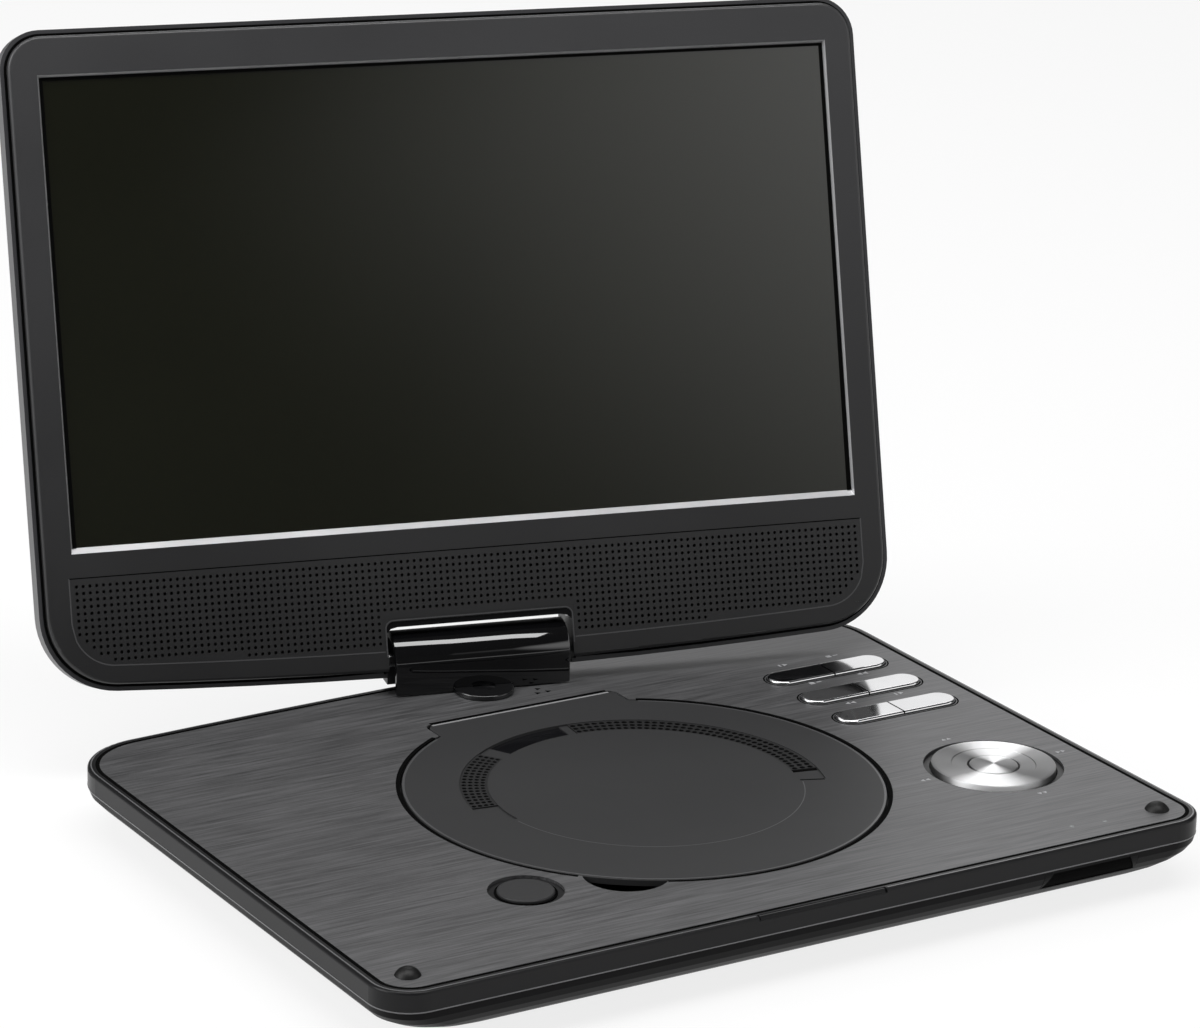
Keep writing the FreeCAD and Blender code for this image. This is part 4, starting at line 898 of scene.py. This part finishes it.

# painted shade: dark strips in the gaps round the three pairs of keys
keyGap = {"round": 0.7, "under": 0.04, "out": 0.42, "proud": 0.02, "deep": 0.3}
for row in (1, 2, 3):
    low = Vector(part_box("key_%d_left" % row)[0]) / mm
    high = Vector(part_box("key_%d_right" % row)[1]) / mm
    middle, size = (low + high) / 2, high - low
    pill = pillOutline(middle.x, middle.y, size.x + 2 * keyGap["round"], size.y + 2 * keyGap["round"], 10)
    band("key_gap_shade_%d" % row, pill, -keyGap["under"], keyGap["out"], deck["top"] + keyGap["proud"],
         deck["top"] - keyGap["deep"], "dark", "base")
print("stage: seams")

# direction ring and its middle button
navPivot = Vector(joints["nav_rock_x"]["pos_m"]) / mm
nav = {"outer": 16.75, "inner": 7.0, "button": 6.6, "low": -2.6, "proud": 0.8, "dish": 0.4, "step": 11.2,
       "capLow": -0.9}
top = deck["top"]
navTop = top + nav["proud"]
dishLevel = navTop - nav["dish"]
ringProfile = [
    (nav["inner"], top + nav["low"]), (nav["outer"], top + nav["low"]), (nav["outer"], navTop - 0.5),
    (nav["outer"] - 0.15, navTop - 0.15), (nav["outer"] - 0.6, navTop), (nav["outer"] - 1.2, navTop - 0.04),
    (nav["step"] + 0.15, navTop - 0.12), (nav["step"], navTop - 0.3), (nav["inner"] + 0.5, dishLevel),
    (nav["inner"] + 0.1, dishLevel - 0.12), (nav["inner"], dishLevel - 0.4),
]
ring = turned("nav_dish", ringProfile, navPivot, "turned", "nav_pad", 128, 25)
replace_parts(ring, "nav_ring")
capProfile = [
    (0, top + nav["capLow"]), (nav["button"], top + nav["capLow"]), (nav["button"], navTop - 0.7),
    (nav["button"] - 0.15, navTop - 0.4), (nav["button"] - 0.5, navTop - 0.25),
    (nav["button"] * 0.6, navTop - 0.1), (0, navTop - 0.02),
]
cap = turned("nav_cap", capProfile, navPivot, "turned", "nav_centre", 96, 35)
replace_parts(cap, "nav_button")

# gloss front of the hinge: an arc over the barrel that runs straight down into a skirt
hinge = {"radius": 8.0, "wall": 1.6, "lowWall": 0.85, "lowWallTop": 0.2, "half": 25.0, "rear": 1.5,
         "skirt": 0.5, "bossHalf": 8.45, "bossSkirt": 1.6, "chamfer": 0.6, "steps": 22, "innerSteps": 8}


def hingeLoop(x, inset, skirt):
    axisY, axisZ = straightTilt.y, straightTilt.z
    r = hinge["radius"] - inset
    inner = hinge["radius"] - hinge["wall"]
    loop = []
    start = math.acos(hinge["rear"] / r)
    for k in range(hinge["steps"] + 1):
        turn = start + (math.pi - start) * k / hinge["steps"]
        loop.append((axisY + r * math.cos(turn), axisZ + r * math.sin(turn)))
    low = top + skirt + (inset if skirt == hinge["skirt"] else 0)
    back = axisY - hinge["radius"] + hinge["lowWall"]
    loop += [(axisY - r, low), (back, low), (back, axisZ - hinge["lowWallTop"])]
    start = math.acos(hinge["rear"] / inner)
    for k in range(hinge["innerSteps"] + 1):
        turn = math.pi - (math.pi - start) * k / hinge["innerSteps"]
        loop.append((axisY + inner * math.cos(turn), axisZ + inner * math.sin(turn)))
    return [onHinge(x, y, z) for y, z in loop]


def hingeFace():
    half, chamfer, boss = hinge["half"], hinge["chamfer"], hinge["bossHalf"]
    low, high = hinge["skirt"], hinge["bossSkirt"]
    leftHalf = [(-half, chamfer, low), (-half + chamfer * 0.3, chamfer * 0.3, low),
                (-half + chamfer, 0, low), (-boss, 0, low), (-boss, 0, high)]
    loops = [hingeLoop(*place) for place in leftHalf]
    loops += [hingeLoop(-x, inset, skirt) for x, inset, skirt in reversed(leftHalf)]
    points = [point for loop in loops for point in loop]
    faces = [face[::-1] for face in bar(len(loops[0]), len(loops))]
    return makePiece("hinge_face", points, faces, "pianoBlack", "hinge_block", 40)


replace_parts(hingeFace(), "hinge_front_cover")

# plug in the boss, and a dark ring of painted shade in the gap round the open button
plug = {"radius": 3.12, "low": 0.6, "high": 1.34, "round": 0.2, "roundDrop": 0.15, "crown": 0.1}
plugTop = top + plug["high"]
plugProfile = [(0, top + plug["low"]), (plug["radius"], top + plug["low"]),
               (plug["radius"], plugTop - plug["roundDrop"]), (plug["radius"] - plug["round"], plugTop),
               (0, plugTop + plug["crown"])]
turned("boss_plug", plugProfile, swivelPivot, "boss", "hinge_block", 64, 35)
buttonGap = {"x": -61.0, "y": -50.5, "inner": 7.38, "outer": 7.95, "high": -0.5, "low": -0.75}
gapProfile = [(buttonGap["inner"], top + buttonGap["low"]), (buttonGap["outer"], top + buttonGap["low"]),
              (buttonGap["outer"], top + buttonGap["high"]), (buttonGap["inner"], top + buttonGap["high"])]
turned("button_gap_shade", gapProfile, (buttonGap["x"], buttonGap["y"]), "dark", "base", 72, 30)

# generic marks beside the keys, round the direction ring and at the hinge
marks = {"height": 0.05, "lift": 0.005, "keysX": (84.8, 101.0), "rowsY": (55.5, 39.5, 21.5), "small": 0.8,
         "size": 0.95, "navReach": 22.0, "turnPlace": (13.8, 69.4), "turnReach": 1.9}


def onDeckMark(x, y, level):
    return onDeck(x, y, marks["lift"] + level)


def turnedPlace(x, y, reach, turn):
    angle = math.radians(turn)
    return x + reach * math.cos(angle), y + reach * math.sin(angle)


size, small = marks["size"], marks["small"]
markOutlines = []
for row, y in enumerate(marks["rowsY"]):
    for column, x in enumerate(marks["keysX"]):
        if (row + column) % 3 == 0:
            markOutlines += [rectangle(x - 1.2, y, 0.5, 1.6), triangle(x + 0.4, y, size, 0)]
        elif (row + column) % 3 == 1:
            markOutlines += [rectangle(x - 0.9, y, 1.5, 1.5), rectangle(x + 1.4, y, 1.6, 0.5)]
        else:
            markOutlines += [triangle(x - 0.9, y, size, 180), triangle(x + 0.9, y, size, 180)]
for turn in (0, 90, 180, 270):
    x, y = turnedPlace(navPivot.x, navPivot.y, marks["navReach"], turn)
    markOutlines += [triangle(x - small, y, small, turn), triangle(x + small, y, small, turn)]
turnOutlines = [triangle(*turnedPlace(*marks["turnPlace"], marks["turnReach"], turn), size, turn - 90)
                for turn in (90, 210, 330)]
flatMark("turn_mark", turnOutlines, onDeckMark, marks["height"], "dark", "base")
flatMark("deck_marks", markOutlines, onDeckMark, marks["height"], "ink", "base")
print("stage: deck details")

# floor, lamps and camera; a glow is (direction, fades in from, full at, strength)
studio = {
    "floorHalf": 6.0, "floorTone": 0.9, "floorGlow": 0.82, "floorDrop": 0.1, "ambient": 0.05, "least": 0.04,
    "glows": [((0.5, -0.65, 0.57), 0.785, 0.92, 1.35), ((0.55, 0.76, 0.37), 0.93, 0.99, 0.95),
              ((-1.0, 0.15, 0.2), 0.6, 0.95, 0.8), ((0.0, -0.3, 0.954), 0.6, 0.74, -1.6)],
    "lamps": [
        ("overLamp", (-0.1, -0.2, 1.35), (0.0, 0.0, 0.0), 1.6, 0.42, 17.0),
        ("keyLamp", (-1.3, 0.35, 0.95), (0.0, 0.0, 0.05), 0.8, 0.8, 12.0),
        ("backLamp", (0.7, 1.2, 1.2), (0.0, 0.0, 0.0), 0.9, 0.6, 4.0),
    ],
}


# shows the first shader, or the second by the given share
def blendShaders(tree, share, first, second, out):
    blend = tree.nodes.new("ShaderNodeMixShader")
    tree.links.new(share, blend.inputs[0])
    tree.links.new(first.outputs[0], blend.inputs[1])
    tree.links.new(second.outputs[0], blend.inputs[2])
    tree.links.new(blend.outputs[0], out.inputs["Surface"])


def addFloor():
    half = studio["floorHalf"]
    low = cadBox[0][2] - studio["floorDrop"] * mm
    mesh = bpy.data.meshes.new("floor")
    mesh.from_pydata([(x, y, low) for x, y in rectangle(0, 0, 2 * half, 2 * half)], [], [[0, 1, 2, 3]])
    finish = bpy.data.materials.new("paleFloor")
    finish.use_nodes = True
    tree = finish.node_tree
    tree.nodes.clear()
    out = tree.nodes.new("ShaderNodeOutputMaterial")
    paint = addNode(tree, "ShaderNodeBsdfDiffuse", Color=(studio["floorTone"],) * 3 + (1,))
    glow = addNode(tree, "ShaderNodeEmission", Color=(1, 1, 1, 1), Strength=1.0)
    rays = tree.nodes.new("ShaderNodeLightPath").outputs
    seen = mathNode(tree, "MAXIMUM", rays["Is Camera Ray"], rays["Is Glossy Ray"])
    seen = mathNode(tree, "MAXIMUM", seen, rays["Is Transmission Ray"])
    blendShaders(tree, mathNode(tree, "MULTIPLY", seen, studio["floorGlow"]), paint, glow, out)
    mesh.materials.append(finish)
    addObject("floor", mesh)


def addWorld():
    world = bpy.data.worlds.new("studioWorld")
    bpy.context.scene.world = world
    world.use_nodes = True
    tree = world.node_tree
    tree.nodes.clear()
    out = tree.nodes.new("ShaderNodeOutputWorld")
    soft = addNode(tree, "ShaderNodeBackground", Color=(1, 1, 1, 1), Strength=1.0)
    white = addNode(tree, "ShaderNodeBackground", Color=(1, 1, 1, 1), Strength=1.0)
    coords = tree.nodes.new("ShaderNodeTexCoord")
    level = studio["ambient"]
    for aim, low, high, strength in studio["glows"]:
        dot = addNode(tree, "ShaderNodeVectorMath", operation="DOT_PRODUCT")
        dot.inputs[1].default_value = Vector(aim).normalized()
        tree.links.new(coords.outputs["Generated"], dot.inputs[0])
        fade = rangeNode(tree, dot.outputs["Value"], low, high, 0.0, strength)
        fade.interpolation_type = "SMOOTHSTEP"
        level = mathNode(tree, "ADD", level, fade.outputs["Result"])
    tree.links.new(mathNode(tree, "MAXIMUM", level, studio["least"]), soft.inputs["Strength"])
    rays = tree.nodes.new("ShaderNodeLightPath").outputs
    direct = mathNode(tree, "MAXIMUM", rays["Is Camera Ray"], rays["Is Transmission Ray"])
    blendShaders(tree, direct, soft, white, out)


def addLamps():
    for name, place, aim, width, height, power in studio["lamps"]:
        data = bpy.data.lights.new(name, "AREA")
        data.shape = "RECTANGLE"
        data.size = width
        data.size_y = height
        data.energy = power
        lamp = addObject(name, data)
        lamp.location = place
        lamp.rotation_euler = (Vector(aim) - Vector(place)).to_track_quat("-Z", "Y").to_euler()


# place in metres, angles in degrees, lens and sensor in millimetres
view = {"place": (-0.6051, -0.9672, 0.4671), "turn": -32.04, "height": 18.73, "roll": 1.476,
        "lens": 139.79, "sensor": 36.0, "shiftX": -0.030, "shiftY": 0.033, "far": 50.0}


def addCamera():
    data = bpy.data.cameras.new("camera")
    data.lens = view["lens"]
    data.sensor_width = view["sensor"]
    data.sensor_fit = "HORIZONTAL"
    data.shift_x = view["shiftX"]
    data.shift_y = view["shiftY"]
    data.clip_end = view["far"]
    camera = addObject("camera", data)
    turn, height, roll = (math.radians(view[key]) for key in ("turn", "height", "roll"))
    back = Vector((math.sin(turn) * math.cos(height), -math.cos(turn) * math.cos(height), math.sin(height)))
    right = (-back).cross(Vector((0, 0, 1))).normalized()
    up = right.cross(-back)
    side = right * math.cos(roll) + up * math.sin(roll)
    over = up * math.cos(roll) - right * math.sin(roll)
    aim = Matrix((side, over, back)).transposed().to_4x4()
    camera.matrix_world = Matrix.Translation(Vector(view["place"])) @ aim
    bpy.context.scene.camera = camera


addFloor()
addWorld()
addLamps()
addCamera()
bpy.context.scene.view_settings.view_transform = "Standard"
print("stage: studio")
